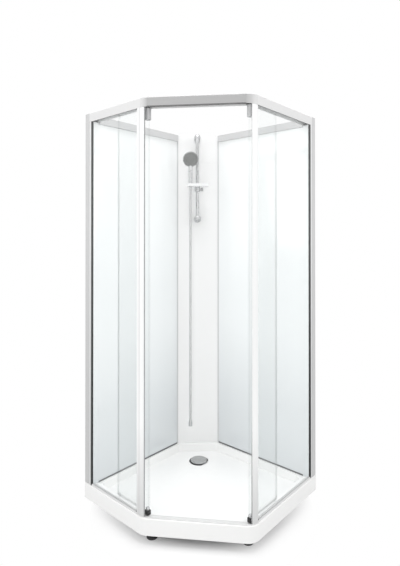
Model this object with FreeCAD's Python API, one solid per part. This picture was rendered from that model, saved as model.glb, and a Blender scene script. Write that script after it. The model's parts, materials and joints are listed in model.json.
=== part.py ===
import FreeCAD, Part
import math
import os

Vector = FreeCAD.Vector
UP = Vector(0, 0, 1)

# Five-sided corner shower enclosure, millimetres, +Z up.
# Origin: on the floor, under the middle of the square that the tray is cut from.
# -Y is the left side pane's face, +X the right side pane's, the cut front looks towards +X -Y.

# overall sizes
TRAY_SIDE = 900.0           # square that the five-sided tray is cut from
TOTAL_HEIGHT = 2100.0
RIM_Z = 120.0               # top of the tray rim
APRON_BOTTOM = 42.0         # lower edge of the tray skirt above the floor
LEFT_RUN = 406.0            # left pane line, from the back wall to the front corner
RIGHT_RUN = 535.0           # right pane line, from the back wall to the front corner
EDGE_INSET = 5.0            # tray edge to the pane line
WALL_DEPTH = 62.0           # tray edge to the inner face of the back walls
CORNER_R = 65.0             # rounding of the pane line at the front corners
RAIL_HEIGHT = 47.0          # head rail

HALF = TRAY_SIDE / 2
WALL = HALF - WALL_DEPTH    # centre to the back walls
SIDE = HALF - EDGE_INSET    # centre to the pane lines
RAIL_Z = TOTAL_HEIGHT - RAIL_HEIGHT

# tray
TRAY_CORNER_R = 12.0
APRON_WALL = 4.0
RIM_THICK = 8.0
RIM_ROUND = 5.0
RIM_WIDTH = 45.0            # pane line to the basin
BACK_RIM = 12.0             # back walls and column to the basin
BASIN_FLOOR_Z = RIM_Z - 40.0
BASIN_DRAFT = 12.0
BASIN_WALL = 5.0
BASIN_CORNER_R = 40.0
FLOOR_UNDER_Z = BASIN_FLOOR_Z - 12.0
DISH_R = 300.0
DISH_DROP = 5.0

# drain
DRAIN_X = 251.0 - HALF
DRAIN_Y = HALF - 254.0
FLANGE_R = 57.5
FLANGE_THICK = 3.0
FLANGE_BORE_R = 38.0
SLEEVE_R = 44.0
TRAP_R = 60.0
TRAP_WALL = 3.0
TRAP_BOTTOM = 3.0
OUTLET_R = 16.0
OUTLET_BORE_R = 13.5
OUTLET_Z = 20.0
OUTLET_COLLAR_WALL = 2.0    # collar between the trap and the outlet, where the pipe stops
OUTLET_COLLAR = 4.0
OUTLET_LENGTH = 46.0        # outlet beyond its collar
GASKET_THICK = 3.0
COVER_R = 50.0
COVER_THICK = 4.0
COVER_RISE = 2.0
DIP_TUBE_R = 31.0
DIP_TUBE_WALL = 3.0
SKIRT_GAP = 1.0
SKIRT_WALL = 2.0

# frame and feet
TUBE = 25.0
TUBE_WALL = 2.0
FOOT_BACK = HALF - 90.0     # centre to the feet beside the back walls
FOOT_SIDE = HALF - 69.0     # centre to the feet beside the panes
FOOT_LEFT_X = LEFT_RUN - WALL - 2.0
FOOT_RIGHT_Y = WALL - RIGHT_RUN + 41.0
PAD_R = 27.0
PAD_HEIGHT = 20.0
STUD_R = 5.0
STUD_FLOOR_GAP = 12.0
STUD_TOP = FLOOR_UNDER_Z - 6.0
NUT_ACROSS = 17.0
NUT_HEIGHT = 10.0

# head rail
RAIL_WIDTH = 45.0
RAIL_WALL = 2.5
RAIL_ROUND = 7.0
TRACK_LEDGE_Z = RAIL_Z + 9.0
TRACK_WALL = 2.0
TRACK_OUTER = 11.5          # pane line to the outer web of the track
TRACK_SLOT = 14.0

# side panes, posts and corner profiles
PANE_THICK = 4.0
PANE_INSET = 4.0            # pane line to the pane's outer face
PANE_TOP_GAP = 16.0         # pane top to the rail top
PROFILE_LEG_LEFT = CORNER_R / 2 + 10.5   # corner profile along the pane, from the corner
PROFILE_LEG_RIGHT = CORNER_R / 2 + 3.5
PROFILE_GRIP = 8.0
PROFILE_PAST_LEFT = 4.5     # corner profile past the middle of its corner
PROFILE_PAST_RIGHT = 3.0
PROFILE_OUTER = 1.0
PROFILE_INNER = 9.2
SEAL_LIP = 4.0
GASKET_WIDTH = 11.0
GASKET_LIP = 2.0
POST_SPLIT = 24.0           # wall line to the wall profile
POST_WIDTH = RAIL_WIDTH
POST_WALL = 2.0
POST_TOP_GAP = 2.0
POST_ROUND = 5.0

# sill on the rim
SILL_WIDTH = 24.0
SILL_BASE = 1.5
SILL_LIP = 2.5
SILL_LIP_HEIGHT = 5.0
SILL_RIB_HEIGHT = 4.0
SILL_GRIP_HEIGHT = 10.0

# back walls and column
PANEL_THICK = 4.0
PANEL_TOP_Z = RAIL_Z + 7.0
BACK_RAIL_BOTTOM = RAIL_Z - 8.0
BACK_RAIL_TOP = RAIL_Z + 32.0
BACK_RAIL_FRONT = 10.0
BACK_RAIL_REAR = 12.0
BACK_RAIL_WALL = 3.0
TRIM_WIDTH = 8.0
TRIM_LIP = 2.0
SEAL_HEIGHT = 8.0
COLUMN_LEG = 181.0
COLUMN_SHEET = 4.0
COLUMN_FLANGE = 16.0
COLUMN_JOINT_Z = RAIL_Z - 138.0

# doors
DOOR_GLASS = 5.0
DOOR_BOTTOM_Z = RIM_Z + 12.0
DOOR_TOP_Z = RAIL_Z - 7.0
BLOCK_WIDTH = 28.0
BLOCK_THICK = 24.0
BLOCK_ROUND = 8.0
DOOR_LINE_FRONT = BLOCK_WIDTH / 2 + 14.0    # pane line to the door line, cut front
DOOR_LINE_LEFT = BLOCK_WIDTH / 2 + 20.0     # pane line to the open door
DOOR_LINE_RIGHT = BLOCK_WIDTH / 2 + 16.0
TOP_BLOCK_Z = RAIL_Z - 57.0
TOP_BLOCK_HEIGHT = 56.0
LOW_BLOCK_Z = RIM_Z + 5.0
LOW_BLOCK_HEIGHT = 17.0
NOTCH = 3.0                 # glass held in each block
LOW_NOTCH_TOP = RIM_Z + 46.0
MEETING_GAP = 0.5
SEAL_GRIP = 4.0
SEAL_WALL = 2.0
SEAL_NOSE = 1.0
GUIDE_LENGTH = 18.0
GUIDE_HALF = 5.0
GUIDE_PIN_R = 4.0
GUIDE_PIN_TOP = RAIL_Z + 8.0
LOW_GUIDE_Z = RIM_Z + 4.6
PEG_R = 3.5
PEG_BOTTOM = RIM_Z + 2.0
KNOB_R = 10.0
KNOB_STEM_R = 7.0
KNOB_TOP = RIM_Z + 40.0
KNOB_UNDER = RIM_Z + 27.5
KNOB_STEM_BOTTOM = RIM_Z + 12.5
KNOB_SOCKET_FLOOR = RIM_Z + 7.0
PIVOT_R = 4.0
PIVOT_HEAD_R = 6.0
PIVOT_HEAD_BOTTOM = RAIL_Z - 31.0
PIVOT_HEAD_TOP = RAIL_Z - 23.0
PIVOT_FREE = 2.0            # free height under the pivot's head
RUNNING = 0.06              # radial clearance of pins and stems
GLIDER_SHORTER = 1.0        # glider to the block width, each end
GLIDER_SIDE_GAP = 0.5
GLIDER_HEIGHT = 12.0
GLIDER_NECK = 13.0
GLIDER_NECK_BOTTOM = RAIL_Z + 2.0
SLIDE_GAP = 0.3

# shower set, placed on the middle of the column face
RISER_X = -6.0
RISER_OUT = 48.0
RISER_R = 10.0
RISER_WALL = 1.5
UPPER_FIX_Z = RAIL_Z + 10.0
LOWER_FIX_Z = 1549.0
UPPER_FIX_R = 19.0
LOWER_FIX_R = 23.0
FIX_FRONT = 66.0
SLIDER_Z = 1745.0
SLIDER_HEIGHT = 46.0
SLIDER_R = 17.0
CLAMP_R = 12.0
CLAMP_LENGTH = 15.0
CLAMP_STEP = 3.0            # boss to knob radius
GRIP_GROOVE_R = 2.0
SHELF_LEFT = -70.0
SHELF_RIGHT = 59.0
SHELF_BACK = 62.0
SHELF_FRONT = 124.0
SHELF_Z = 1750.0
SHELF_HEIGHT = 16.0
SHELF_FLOOR = 4.0
SHELF_RIM = 4.0
SHELF_ROUND = 12.0
SHELF_SLOTS = 7
SLOT_WIDTH = 4.0
MOUTH_GAP = 1.0
HAND_X = -51.0
HAND_OUT = 92.0
HOLDER_TOP_R = 14.0
HOLDER_LOW_R = 11.0
HOSE_R = 7.0
HOSE_BORE_R = 4.0
NUT_GAP = 0.3
CONE_NUT_LOW_Z = 1746.0
CONE_NUT_TOP_Z = 1770.0
HANDLE_TOP_Z = 1885.0
HANDLE_LEAN = 5.0
HANDLE_LOW_R = 11.0
HANDLE_TOP_R = 12.5
HEAD_Z = 1912.0
HEAD_OUT = 125.0
HEAD_R = 48.5
HEAD_THICK = 13.0
HEAD_DOME = 13.0
HEAD_TILT = 25.0
SPRAY_R = 43.0
SPRAY_PROUD = 2.0
END_NUT_Z = 265.0
END_NUT_HEIGHT = 36.0
END_NUT_R = 11.5
END_THREAD_R = 10.2
END_THREAD_DEPTH = 15.0
BEND_SHARE = 0.45           # share of the shorter run that a bend of the hose takes
# hose route as (distance out from the column face, height)
HOSE_ROUTE = [(92.0, 1746.0), (92.0, 1716.0), (89.6, 1678.0), (88.0, 1630.0),
              (88.0, 346.0), (87.2, 322.0), (87.2, 301.0)]

FRONT_LEFT = Vector(LEFT_RUN - WALL, -SIDE, 0)
FRONT_RIGHT = Vector(SIDE, WALL - RIGHT_RUN, 0)
FRONT_RUN = (FRONT_RIGHT - FRONT_LEFT).Length
ALONG = (FRONT_RIGHT - FRONT_LEFT) * (1 / FRONT_RUN)
FRONT_IN = Vector(-ALONG.y, ALONG.x, 0)
TURN_LEFT = math.degrees(math.atan2(ALONG.y, ALONG.x))
TURN_RIGHT = 90 - TURN_LEFT
COLUMN_RUN = SIDE + WALL - COLUMN_LEG

# a line is a start point, the way along it and the way into the enclosure
LEFT = {"start": FRONT_LEFT, "along": Vector(-1, 0, 0), "inward": Vector(0, 1, 0),
        "run": LEFT_RUN, "turn": TURN_LEFT, "spin": 1,
        "door_line": DOOR_LINE_LEFT, "profile_leg": PROFILE_LEG_LEFT, "profile_past": PROFILE_PAST_LEFT}
RIGHT = {"start": FRONT_RIGHT, "along": Vector(0, 1, 0), "inward": Vector(-1, 0, 0),
         "run": RIGHT_RUN, "turn": TURN_RIGHT, "spin": -1,
         "door_line": DOOR_LINE_RIGHT, "profile_leg": PROFILE_LEG_RIGHT, "profile_past": PROFILE_PAST_RIGHT}
FRONT = {"start": FRONT_LEFT, "along": ALONG, "inward": FRONT_IN}
LEFT_WALL = {"start": Vector(-WALL, -SIDE, 0), "along": Vector(0, 1, 0), "inward": Vector(1, 0, 0)}
RIGHT_WALL = {"start": Vector(SIDE, WALL, 0), "along": Vector(-1, 0, 0), "inward": Vector(0, -1, 0)}
SIDES = {"left": LEFT, "right": RIGHT}
WALLS = {"left": LEFT_WALL, "right": RIGHT_WALL}


def save(node, *solids):
    shape = solids[0] if len(solids) == 1 else Part.makeCompound(list(solids))
    shape.exportStep("parts/" + node + ".step")
    count = len(shape.Solids)
    print(node, "solids", count, "valid", shape.isValid(), "volume", round(shape.Volume))


def box(x0, x1, y0, y1, z0, z1):
    return Part.makeBox(x1 - x0, y1 - y0, z1 - z0, Vector(x0, y0, z0))


def post(x, y, z0, z1, radius):
    return Part.makeCylinder(radius, z1 - z0, Vector(x, y, z0))


def meet(corner, inward_a, inset_a, inward_b, inset_b):
    """Point at one distance inside one line and another distance inside a second line."""
    det = inward_a.x * inward_b.y - inward_a.y * inward_b.x
    x = (inset_a * inward_b.y - inset_b * inward_a.y) / det
    y = (inward_a.x * inset_b - inward_b.x * inset_a) / det
    return corner + Vector(x, y, 0)


def offset_polygon(points, insets):
    """Moves each edge of a counter-clockwise plan polygon inwards by its own distance."""
    count = len(points)
    inwards = []
    for i in range(count):
        edge = points[(i + 1) % count] - points[i]
        edge.normalize()
        inwards.append(Vector(-edge.y, edge.x, 0))
    return [meet(points[i], inwards[i - 1], insets[i - 1], inwards[i], insets[i]) for i in range(count)]


def rounded_wire(points, radii):
    """Closed wire through planar points, each corner rounded by its own radius (0 keeps it sharp)."""
    count = len(points)
    starts = []
    ends = []
    middles = []
    for i in range(count):
        back = points[i - 1] - points[i]
        ahead = points[(i + 1) % count] - points[i]
        back.normalize()
        ahead.normalize()
        half = back.getAngle(ahead) / 2
        reach = radii[i] / math.tan(half)
        bisector = back + ahead
        bisector.normalize()
        starts.append(points[i] + back * reach)
        ends.append(points[i] + ahead * reach)
        middles.append(points[i] + bisector * (radii[i] / math.sin(half) - radii[i]))
    edges = []
    for i in range(count):
        if radii[i] > 0:
            edges.append(Part.Arc(starts[i], middles[i], ends[i]).toShape())
        edges.append(Part.LineSegment(ends[i], starts[(i + 1) % count]).toShape())
    return Part.Wire(edges)


def plan_prism(points, z0, z1, radii=None):
    """Plan outline extruded between two heights."""
    raised = [Vector(p.x, p.y, z0) for p in points]
    wire = rounded_wire(raised, radii or [0] * len(points))
    return Part.Face(wire).extrude(UP * (z1 - z0))


def line_point(line, along, inset, z=0):
    return line["start"] + line["along"] * along + line["inward"] * inset + UP * z


def line_box(line, s0, s1, t0, t1, z0, z1):
    """Block along a line: s along it, t into the enclosure."""
    plan = [line_point(line, s, t) for s, t in ((s0, t0), (s1, t0), (s1, t1), (s0, t1))]
    return plan_prism(plan, z0, z1)


def line_sweep(line, s0, s1, section, radii=None):
    """Section of (t, z) points run straight along a line."""
    points = [line_point(line, s0, t, z) for t, z in section]
    face = Part.Face(rounded_wire(points, radii or [0] * len(points)))
    return face.extrude(line["along"] * (s1 - s0))


def corner_reach(line):
    return CORNER_R * math.tan(math.radians(line["turn"]) / 2)


def corner_centre(line):
    return meet(line["start"], line["inward"], CORNER_R, FRONT_IN, CORNER_R)


def corner_sweep(line, section, angle, radii=None, first=0):
    """Section of (t, z) points turned round a front corner, from the pane line towards the front."""
    centre = corner_centre(line)
    points = [centre - line["inward"] * (CORNER_R - t) + UP * z for t, z in section]
    shape = Part.Face(rounded_wire(points, radii or [0] * len(points)))
    shape.rotate(centre, UP, first * line["spin"])
    return shape.revolve(centre, UP, angle * line["spin"])


def rectangle(t0, t1, z0, z1):
    return [(t0, z0), (t1, z0), (t1, z1), (t0, z1)]


def cabin_outline(column):
    """Pane lines and wall lines in plan, with or without the column's slanted side."""
    points = [Vector(-WALL, -SIDE, 0), FRONT_LEFT, FRONT_RIGHT, Vector(SIDE, WALL, 0)]
    if column:
        points.append(Vector(COLUMN_LEG - WALL, WALL, 0))
        points.append(Vector(-WALL, WALL - COLUMN_LEG, 0))
    else:
        points.append(Vector(-WALL, WALL, 0))
    return points


def basin_wire(extra, z):
    insets = [RIM_WIDTH + extra] * 3 + [BACK_RIM + extra] * 3
    outline = offset_polygon(cabin_outline(True), insets)
    return rounded_wire([Vector(p.x, p.y, z) for p in outline], [BASIN_CORNER_R] * len(outline))


def shower_tray():
    outline = offset_polygon(cabin_outline(False), [-EDGE_INSET] * 3 + [-WALL_DEPTH] * 2)
    front_r = CORNER_R + EDGE_INSET
    radii = [TRAY_CORNER_R, front_r, front_r, TRAY_CORNER_R, TRAY_CORNER_R]
    tray = plan_prism(outline, APRON_BOTTOM, RIM_Z, radii)
    rim_edges = [e for e in tray.Edges if min(v.Z for v in e.Vertexes) > RIM_Z - 1]
    tray = tray.makeFillet(RIM_ROUND, rim_edges)
    inside = offset_polygon(outline, [APRON_WALL] * len(outline))
    hollow = plan_prism(inside, APRON_BOTTOM, RIM_Z - RIM_THICK, [r - APRON_WALL for r in radii])
    tray = tray.cut(hollow)
    shell_top = RIM_Z - RIM_THICK / 2
    wall_taper = BASIN_DRAFT - BASIN_WALL
    bowl = Part.makeLoft([basin_wire(-BASIN_WALL, shell_top), basin_wire(wall_taper, FLOOR_UNDER_Z)],
                         True, True)
    basin = Part.makeLoft([basin_wire(0, RIM_Z), basin_wire(BASIN_DRAFT, BASIN_FLOOR_Z)], True, True)
    tray = tray.fuse(bowl).cut(basin)
    dish_z = BASIN_FLOOR_Z - DISH_DROP
    dish = Part.makeCone(FLANGE_R, DISH_R, DISH_DROP, Vector(DRAIN_X, DRAIN_Y, dish_z))
    floor = Part.Face(basin_wire(BASIN_DRAFT, dish_z)).extrude(UP * DISH_DROP)
    tray = tray.cut(dish.common(floor))
    seat = post(DRAIN_X, DRAIN_Y, dish_z - FLANGE_THICK, dish_z, FLANGE_R + SLIDE_GAP)
    hole = post(DRAIN_X, DRAIN_Y, FLOOR_UNDER_Z, dish_z, SLEEVE_R + SLIDE_GAP)
    save("shower_tray", tray.cut(seat).cut(hole).removeSplitter())


def foot_places():
    return [Vector(-FOOT_BACK, -FOOT_SIDE, 0), Vector(FOOT_LEFT_X, -FOOT_SIDE, 0),
            Vector(FOOT_SIDE, FOOT_RIGHT_Y, 0), Vector(FOOT_SIDE, FOOT_BACK, 0),
            Vector(-FOOT_BACK, FOOT_BACK, 0)]


def frame_ring(inset, z0, z1):
    places = foot_places()
    count = len(places)
    outer = plan_prism(offset_polygon(places, [inset - TUBE / 2] * count), z0, z1)
    return outer.cut(plan_prism(offset_polygon(places, [TUBE / 2 - inset] * count), z0, z1))


def tray_frame():
    bottom = FLOOR_UNDER_Z - TUBE
    ring = frame_ring(0, bottom, FLOOR_UNDER_Z)
    bar_y = -TUBE
    bar_x0 = -FOOT_BACK + TUBE / 2
    bar_x1 = FOOT_SIDE - TUBE / 2
    bar = box(bar_x0, bar_x1, bar_y, bar_y + TUBE, bottom, FLOOR_UNDER_Z)
    frame = ring.fuse(bar)
    frame = frame.cut(frame_ring(TUBE_WALL, bottom + TUBE_WALL, FLOOR_UNDER_Z - TUBE_WALL))
    bar_core = box(bar_x0, bar_x1, bar_y + TUBE_WALL, bar_y + TUBE - TUBE_WALL,
                   bottom + TUBE_WALL, FLOOR_UNDER_Z - TUBE_WALL)
    frame = frame.cut(bar_core)
    for foot in foot_places():
        frame = frame.fuse(post(foot.x, foot.y, bottom, FLOOR_UNDER_Z, 2 * STUD_R))
    for foot in foot_places():
        frame = frame.cut(post(foot.x, foot.y, bottom, FLOOR_UNDER_Z, STUD_R))
    save("tray_frame", frame.removeSplitter())


def feet():
    studs = []
    pads = []
    nut_top = FLOOR_UNDER_Z - TUBE
    hexagon = [Vector(math.cos(math.radians(60 * i)), math.sin(math.radians(60 * i)), 0) for i in range(6)]
    hex_r = NUT_ACROSS / math.sqrt(3)
    for foot in foot_places():
        studs.append(post(foot.x, foot.y, STUD_FLOOR_GAP, STUD_TOP, STUD_R))
        nut = plan_prism([foot + corner * hex_r for corner in hexagon], nut_top - NUT_HEIGHT, nut_top)
        studs.append(nut.cut(post(foot.x, foot.y, nut_top - NUT_HEIGHT, nut_top, STUD_R)))
        half = PAD_HEIGHT / 2
        base = post(foot.x, foot.y, 0, half, PAD_R)
        crown = Part.makeCone(PAD_R, PAD_R / 2, half, foot + UP * half)
        pads.append(base.fuse(crown).cut(post(foot.x, foot.y, STUD_FLOOR_GAP, PAD_HEIGHT, STUD_R)))
    save("foot_studs", *studs)
    save("foot_pads", *pads)


def tube(x, y, z0, z1, outer, bore):
    return post(x, y, z0, z1, outer).cut(post(x, y, z0, z1, bore))


def drain():
    x = DRAIN_X
    y = DRAIN_Y
    top = BASIN_FLOOR_Z - DISH_DROP
    seat = top - FLANGE_THICK
    trap_top = FLOOR_UNDER_Z - GASKET_THICK
    sleeve_low = trap_top - 2 * TRAP_WALL
    ledge_z = seat - 2 * TRAP_WALL
    flange = tube(x, y, seat, top, FLANGE_R, FLANGE_BORE_R)
    flange = flange.fuse(tube(x, y, sleeve_low, seat, SLEEVE_R, FLANGE_BORE_R))
    lip_bore = DIP_TUBE_R + SLIDE_GAP
    flange = flange.fuse(tube(x, y, ledge_z - TRAP_WALL, ledge_z, FLANGE_BORE_R, lip_bore))
    save("waste_flange", flange)
    save("waste_gasket", tube(x, y, trap_top, FLOOR_UNDER_Z, TRAP_R, SLEEVE_R))
    body = post(x, y, TRAP_BOTTOM, trap_top, TRAP_R)
    body = body.cut(post(x, y, TRAP_BOTTOM + TRAP_WALL, sleeve_low, TRAP_R - TRAP_WALL))
    body = body.cut(post(x, y, sleeve_low, trap_top, SLEEVE_R))
    centre = Vector(x, y, OUTLET_Z)
    sideways = Vector(-1, 0, 0)
    stop = TRAP_R + OUTLET_COLLAR
    spigot = Part.makeCylinder(OUTLET_R, stop + OUTLET_LENGTH, centre, sideways)
    spigot = spigot.fuse(Part.makeCylinder(OUTLET_R + OUTLET_COLLAR_WALL, stop, centre, sideways))
    spigot = spigot.cut(post(x, y, 0, trap_top, TRAP_R - TRAP_WALL))
    bore = Part.makeCylinder(OUTLET_BORE_R, stop + OUTLET_LENGTH, centre, sideways)
    save("waste_body", body.fuse(spigot).cut(bore))
    dip_bore = DIP_TUBE_R - DIP_TUBE_WALL
    dip_rim = tube(x, y, ledge_z, ledge_z + TRAP_WALL, FLANGE_BORE_R - SLIDE_GAP, dip_bore)
    dip_tube = tube(x, y, TRAP_BOTTOM + 3 * TRAP_WALL, ledge_z, DIP_TUBE_R, dip_bore)
    save("waste_dip_tube", dip_rim.fuse(dip_tube))
    cover_z = top + SLIDE_GAP
    dome_r = (COVER_R ** 2 + COVER_RISE ** 2) / (2 * COVER_RISE)
    disc = post(x, y, cover_z + COVER_RISE, cover_z + COVER_RISE + COVER_THICK + COVER_RISE, COVER_R)
    dome = Part.makeSphere(dome_r, Vector(x, y, cover_z + 2 * COVER_RISE + COVER_THICK - dome_r))
    cover = disc.common(dome)
    skirt_r = FLANGE_BORE_R - SKIRT_GAP
    skirt_z = ledge_z + TRAP_WALL + SKIRT_GAP
    cover = cover.fuse(tube(x, y, skirt_z, cover_z + COVER_RISE, skirt_r, skirt_r - SKIRT_WALL))
    for turn in (90, 210, 330):
        reach = (FLANGE_BORE_R + COVER_R) / 2
        foot_x = x + reach * math.cos(math.radians(turn))
        foot_y = y + reach * math.sin(math.radians(turn))
        cover = cover.fuse(post(foot_x, foot_y, cover_z, cover_z + COVER_RISE, TRAP_WALL))
    save("drain_cover", cover.removeSplitter())


def back_walls():
    profiles = []
    seals = []
    trims = []
    trim_s = COLUMN_RUN - TRIM_WIDTH
    panel_end = COLUMN_RUN - TRIM_LIP
    for name, wall in WALLS.items():
        panel_z = RIM_Z + TRIM_LIP
        panel = line_box(wall, POST_WIDTH, panel_end, -PANEL_THICK, 0, panel_z, PANEL_TOP_Z)
        save(name + "_back_panel", panel)
        rail = line_box(wall, POST_WIDTH, trim_s, -BACK_RAIL_REAR, BACK_RAIL_FRONT,
                        BACK_RAIL_BOTTOM, BACK_RAIL_TOP)
        hollow = line_box(wall, POST_WIDTH, trim_s, BACK_RAIL_WALL - BACK_RAIL_REAR,
                          BACK_RAIL_FRONT - BACK_RAIL_WALL,
                          PANEL_TOP_Z + BACK_RAIL_WALL, BACK_RAIL_TOP - BACK_RAIL_WALL)
        profiles.append(rail.cut(panel).cut(hollow))
        outer = -PANEL_THICK - TRIM_LIP
        seal = line_box(wall, POST_WIDTH, trim_s, outer, TRIM_LIP, RIM_Z, RIM_Z + SEAL_HEIGHT)
        seals.append(seal.cut(panel))
        trim = line_box(wall, trim_s, COLUMN_RUN, outer, TRIM_LIP, RIM_Z, BACK_RAIL_TOP)
        trims.append(trim.cut(panel))
    save("back_top_profiles", *profiles)
    save("back_panel_seals", *seals)
    save("column_edge_trims", *trims)


def column():
    leg = WALL - COLUMN_LEG
    slope = COLUMN_SHEET * (math.sqrt(2) - 1)
    inner = leg + COLUMN_SHEET
    back = WALL + COLUMN_FLANGE
    points = [(-back, leg), (-WALL, leg), (-leg, WALL), (-leg, back),
              (-inner, back), (-inner, WALL + slope), (-WALL - slope, inner), (-back, inner)]
    outline = [Vector(x, y, 0) for x, y in points]
    save("corner_column", plan_prism(outline, RIM_Z, COLUMN_JOINT_Z))
    save("column_top_cover", plan_prism(outline, COLUMN_JOINT_Z, BACK_RAIL_TOP))


def side_panes():
    gaskets = []
    seals = []
    pane_inner = PANE_INSET + PANE_THICK
    pane_top = TOTAL_HEIGHT - PANE_TOP_GAP
    for name, line in SIDES.items():
        run = line["run"]
        start = line["profile_leg"] - PROFILE_GRIP
        pane = line_box(line, start, run + GASKET_WIDTH - GASKET_LIP, PANE_INSET, pane_inner,
                        RIM_Z + SILL_BASE, pane_top)
        save(name + "_side_glass", pane)
        outer = PANE_INSET - GASKET_LIP
        inner = pane_inner + GASKET_LIP
        upright = line_box(line, run, run + GASKET_WIDTH, outer, inner, RIM_Z, RAIL_Z)
        cap = line_box(line, line["profile_leg"], run + POST_SPLIT, RAIL_WALL, PROFILE_INNER,
                       RAIL_Z, pane_top + GASKET_LIP)
        gaskets.append(upright.cut(pane))
        gaskets.append(cap.cut(pane))
        wall_end = run + WALL_DEPTH
        split = run + POST_SPLIT
        shell = [line_point(line, s, t) for s, t in
                 ((split, 0), (wall_end, 0), (wall_end, POST_WIDTH), (split, POST_WIDTH))]
        tall = TOTAL_HEIGHT - POST_TOP_GAP
        profile = plan_prism(shell, RIM_Z, tall, [0, POST_ROUND, 0, 0])
        core = line_box(line, split + POST_WALL, wall_end - POST_WALL,
                        POST_WALL, POST_WIDTH - POST_WALL, RIM_Z, tall - POST_WALL)
        save(name + "_wall_profile", profile.cut(core))
        steps = ((run, inner), (run + GASKET_WIDTH, inner), (run + GASKET_WIDTH, PROFILE_OUTER),
                 (split, PROFILE_OUTER), (split, POST_WIDTH), (run, POST_WIDTH))
        holder = plan_prism([line_point(line, s, t) for s, t in steps], RIM_Z, RAIL_Z)
        core = line_box(line, run + POST_WALL, split - POST_WALL, inner + POST_WALL,
                        POST_WIDTH - POST_WALL, RIM_Z, RAIL_Z)
        save(name + "_glass_profile", holder.cut(core))
        corner_profile(name, line, pane)
        seals.append(corner_seal(line))
    save("glass_gaskets", *gaskets)
    save("corner_seals", *seals)


def profile_angle(line):
    return line["turn"] / 2 + math.degrees(line["profile_past"] / CORNER_R)


def corner_profile(name, line, pane):
    section = rectangle(PROFILE_OUTER, PROFILE_INNER, RIM_Z + SILL_LIP_HEIGHT, RAIL_Z)
    straight = line_sweep(line, corner_reach(line), line["profile_leg"], section)
    bend = corner_sweep(line, section, profile_angle(line))
    save(name + "_corner_profile", straight.fuse(bend).cut(pane).removeSplitter())


def corner_seal(line):
    lip = SEAL_WALL
    section = rectangle(PROFILE_OUTER + lip, PROFILE_INNER - lip, RIM_Z + SILL_LIP_HEIGHT, RAIL_Z)
    return corner_sweep(line, section, math.degrees(SEAL_LIP / CORNER_R), None, profile_angle(line))


def corner_clips():
    clips = []
    clip = SILL_LIP_HEIGHT
    for line in SIDES.values():
        for z in (RIM_Z + SILL_GRIP_HEIGHT, RAIL_Z - clip):
            start = line["profile_leg"]
            clips.append(line_box(line, start, start + clip,
                                  PROFILE_OUTER, PANE_INSET, z, z + clip))
    save("corner_clips", *clips)


def rail_section():
    top = TOTAL_HEIGHT
    inner = RAIL_WIDTH - RAIL_WALL
    under = top - RAIL_WALL
    points = [(0, RAIL_Z), (0, top), (RAIL_WIDTH, top), (RAIL_WIDTH, RAIL_Z),
              (inner, RAIL_Z), (inner, under), (RAIL_WALL, under), (RAIL_WALL, RAIL_Z)]
    inside_round = RAIL_ROUND - RAIL_WALL
    return points, [0, RAIL_ROUND, RAIL_ROUND, 0, 0, inside_round, inside_round, 0]


def head_rails():
    section, radii = rail_section()
    corners = []
    for name, line in SIDES.items():
        save(name + "_rail", line_sweep(line, corner_reach(line), line["run"] + POST_SPLIT, section, radii))
        corners.append(corner_sweep(line, section, line["turn"], radii))
    end = FRONT_RUN - corner_reach(RIGHT)
    save("front_rail", line_sweep(FRONT, corner_reach(LEFT), end, section, radii))
    save("rail_corners", *corners)


def door_track():
    """C-shaped track for the gliders, straight along the front and trimmed to the rail's inside."""
    inner = RAIL_WIDTH - RAIL_WALL
    top = TOTAL_HEIGHT - RAIL_WALL
    half_slot = TRACK_SLOT / 2
    start = -RAIL_WIDTH
    end = FRONT_RUN + RAIL_WIDTH
    wall = TRACK_WALL
    track = line_box(FRONT, start, end, TRACK_OUTER, inner, TRACK_LEDGE_Z, top)
    room = line_box(FRONT, start, end, TRACK_OUTER + wall, inner - wall, TRACK_LEDGE_Z + wall, top - wall)
    slot = line_box(FRONT, start, end, DOOR_LINE_FRONT - half_slot, DOOR_LINE_FRONT + half_slot,
                    TRACK_LEDGE_Z, top - wall)
    track = track.cut(room).cut(slot)
    round_in = RAIL_ROUND - RAIL_WALL
    section = [(RAIL_WALL, RAIL_Z), (RAIL_WALL, top), (inner, top), (inner, RAIL_Z)]
    radii = [0, round_in, round_in, 0]
    inside = line_sweep(FRONT, corner_reach(LEFT), FRONT_RUN - corner_reach(RIGHT), section, radii)
    for line in SIDES.values():
        inside = inside.fuse(corner_sweep(line, section, line["turn"], radii))
    save("door_track", track.common(inside).removeSplitter())


def sills():
    base = rectangle(0, SILL_WIDTH, RIM_Z, RIM_Z + SILL_BASE)
    lip = rectangle(0, SILL_LIP, RIM_Z, RIM_Z + SILL_LIP_HEIGHT)
    rib = rectangle(SILL_WIDTH - SILL_LIP, SILL_WIDTH, RIM_Z, RIM_Z + SILL_RIB_HEIGHT)
    pane_inner = PANE_INSET + PANE_THICK
    grips = [rectangle(SILL_LIP, PANE_INSET, RIM_Z, RIM_Z + SILL_LIP_HEIGHT),
             rectangle(PANE_INSET - SEAL_WALL, PANE_INSET, RIM_Z, RIM_Z + SILL_GRIP_HEIGHT),
             rectangle(pane_inner, PROFILE_INNER, RIM_Z, RIM_Z + SILL_GRIP_HEIGHT)]
    for name, line in SIDES.items():
        sill = line_sweep(line, corner_reach(line), line["run"], base)
        for section in (lip, rib):
            sill = sill.fuse(line_sweep(line, corner_reach(line), line["run"], section))
        for section in grips:
            sill = sill.fuse(line_sweep(line, line["profile_leg"], line["run"], section))
        save(name + "_sill", sill.removeSplitter())
    first = corner_reach(LEFT)
    last = FRONT_RUN - corner_reach(RIGHT)
    sill = line_sweep(FRONT, first, last, base)
    for section in (lip, rib):
        sill = sill.fuse(line_sweep(FRONT, first, last, section))
    for line in SIDES.values():
        for section in (base, lip):
            sill = sill.fuse(corner_sweep(line, section, line["turn"]))
    save("front_sill", sill.removeSplitter())


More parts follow.
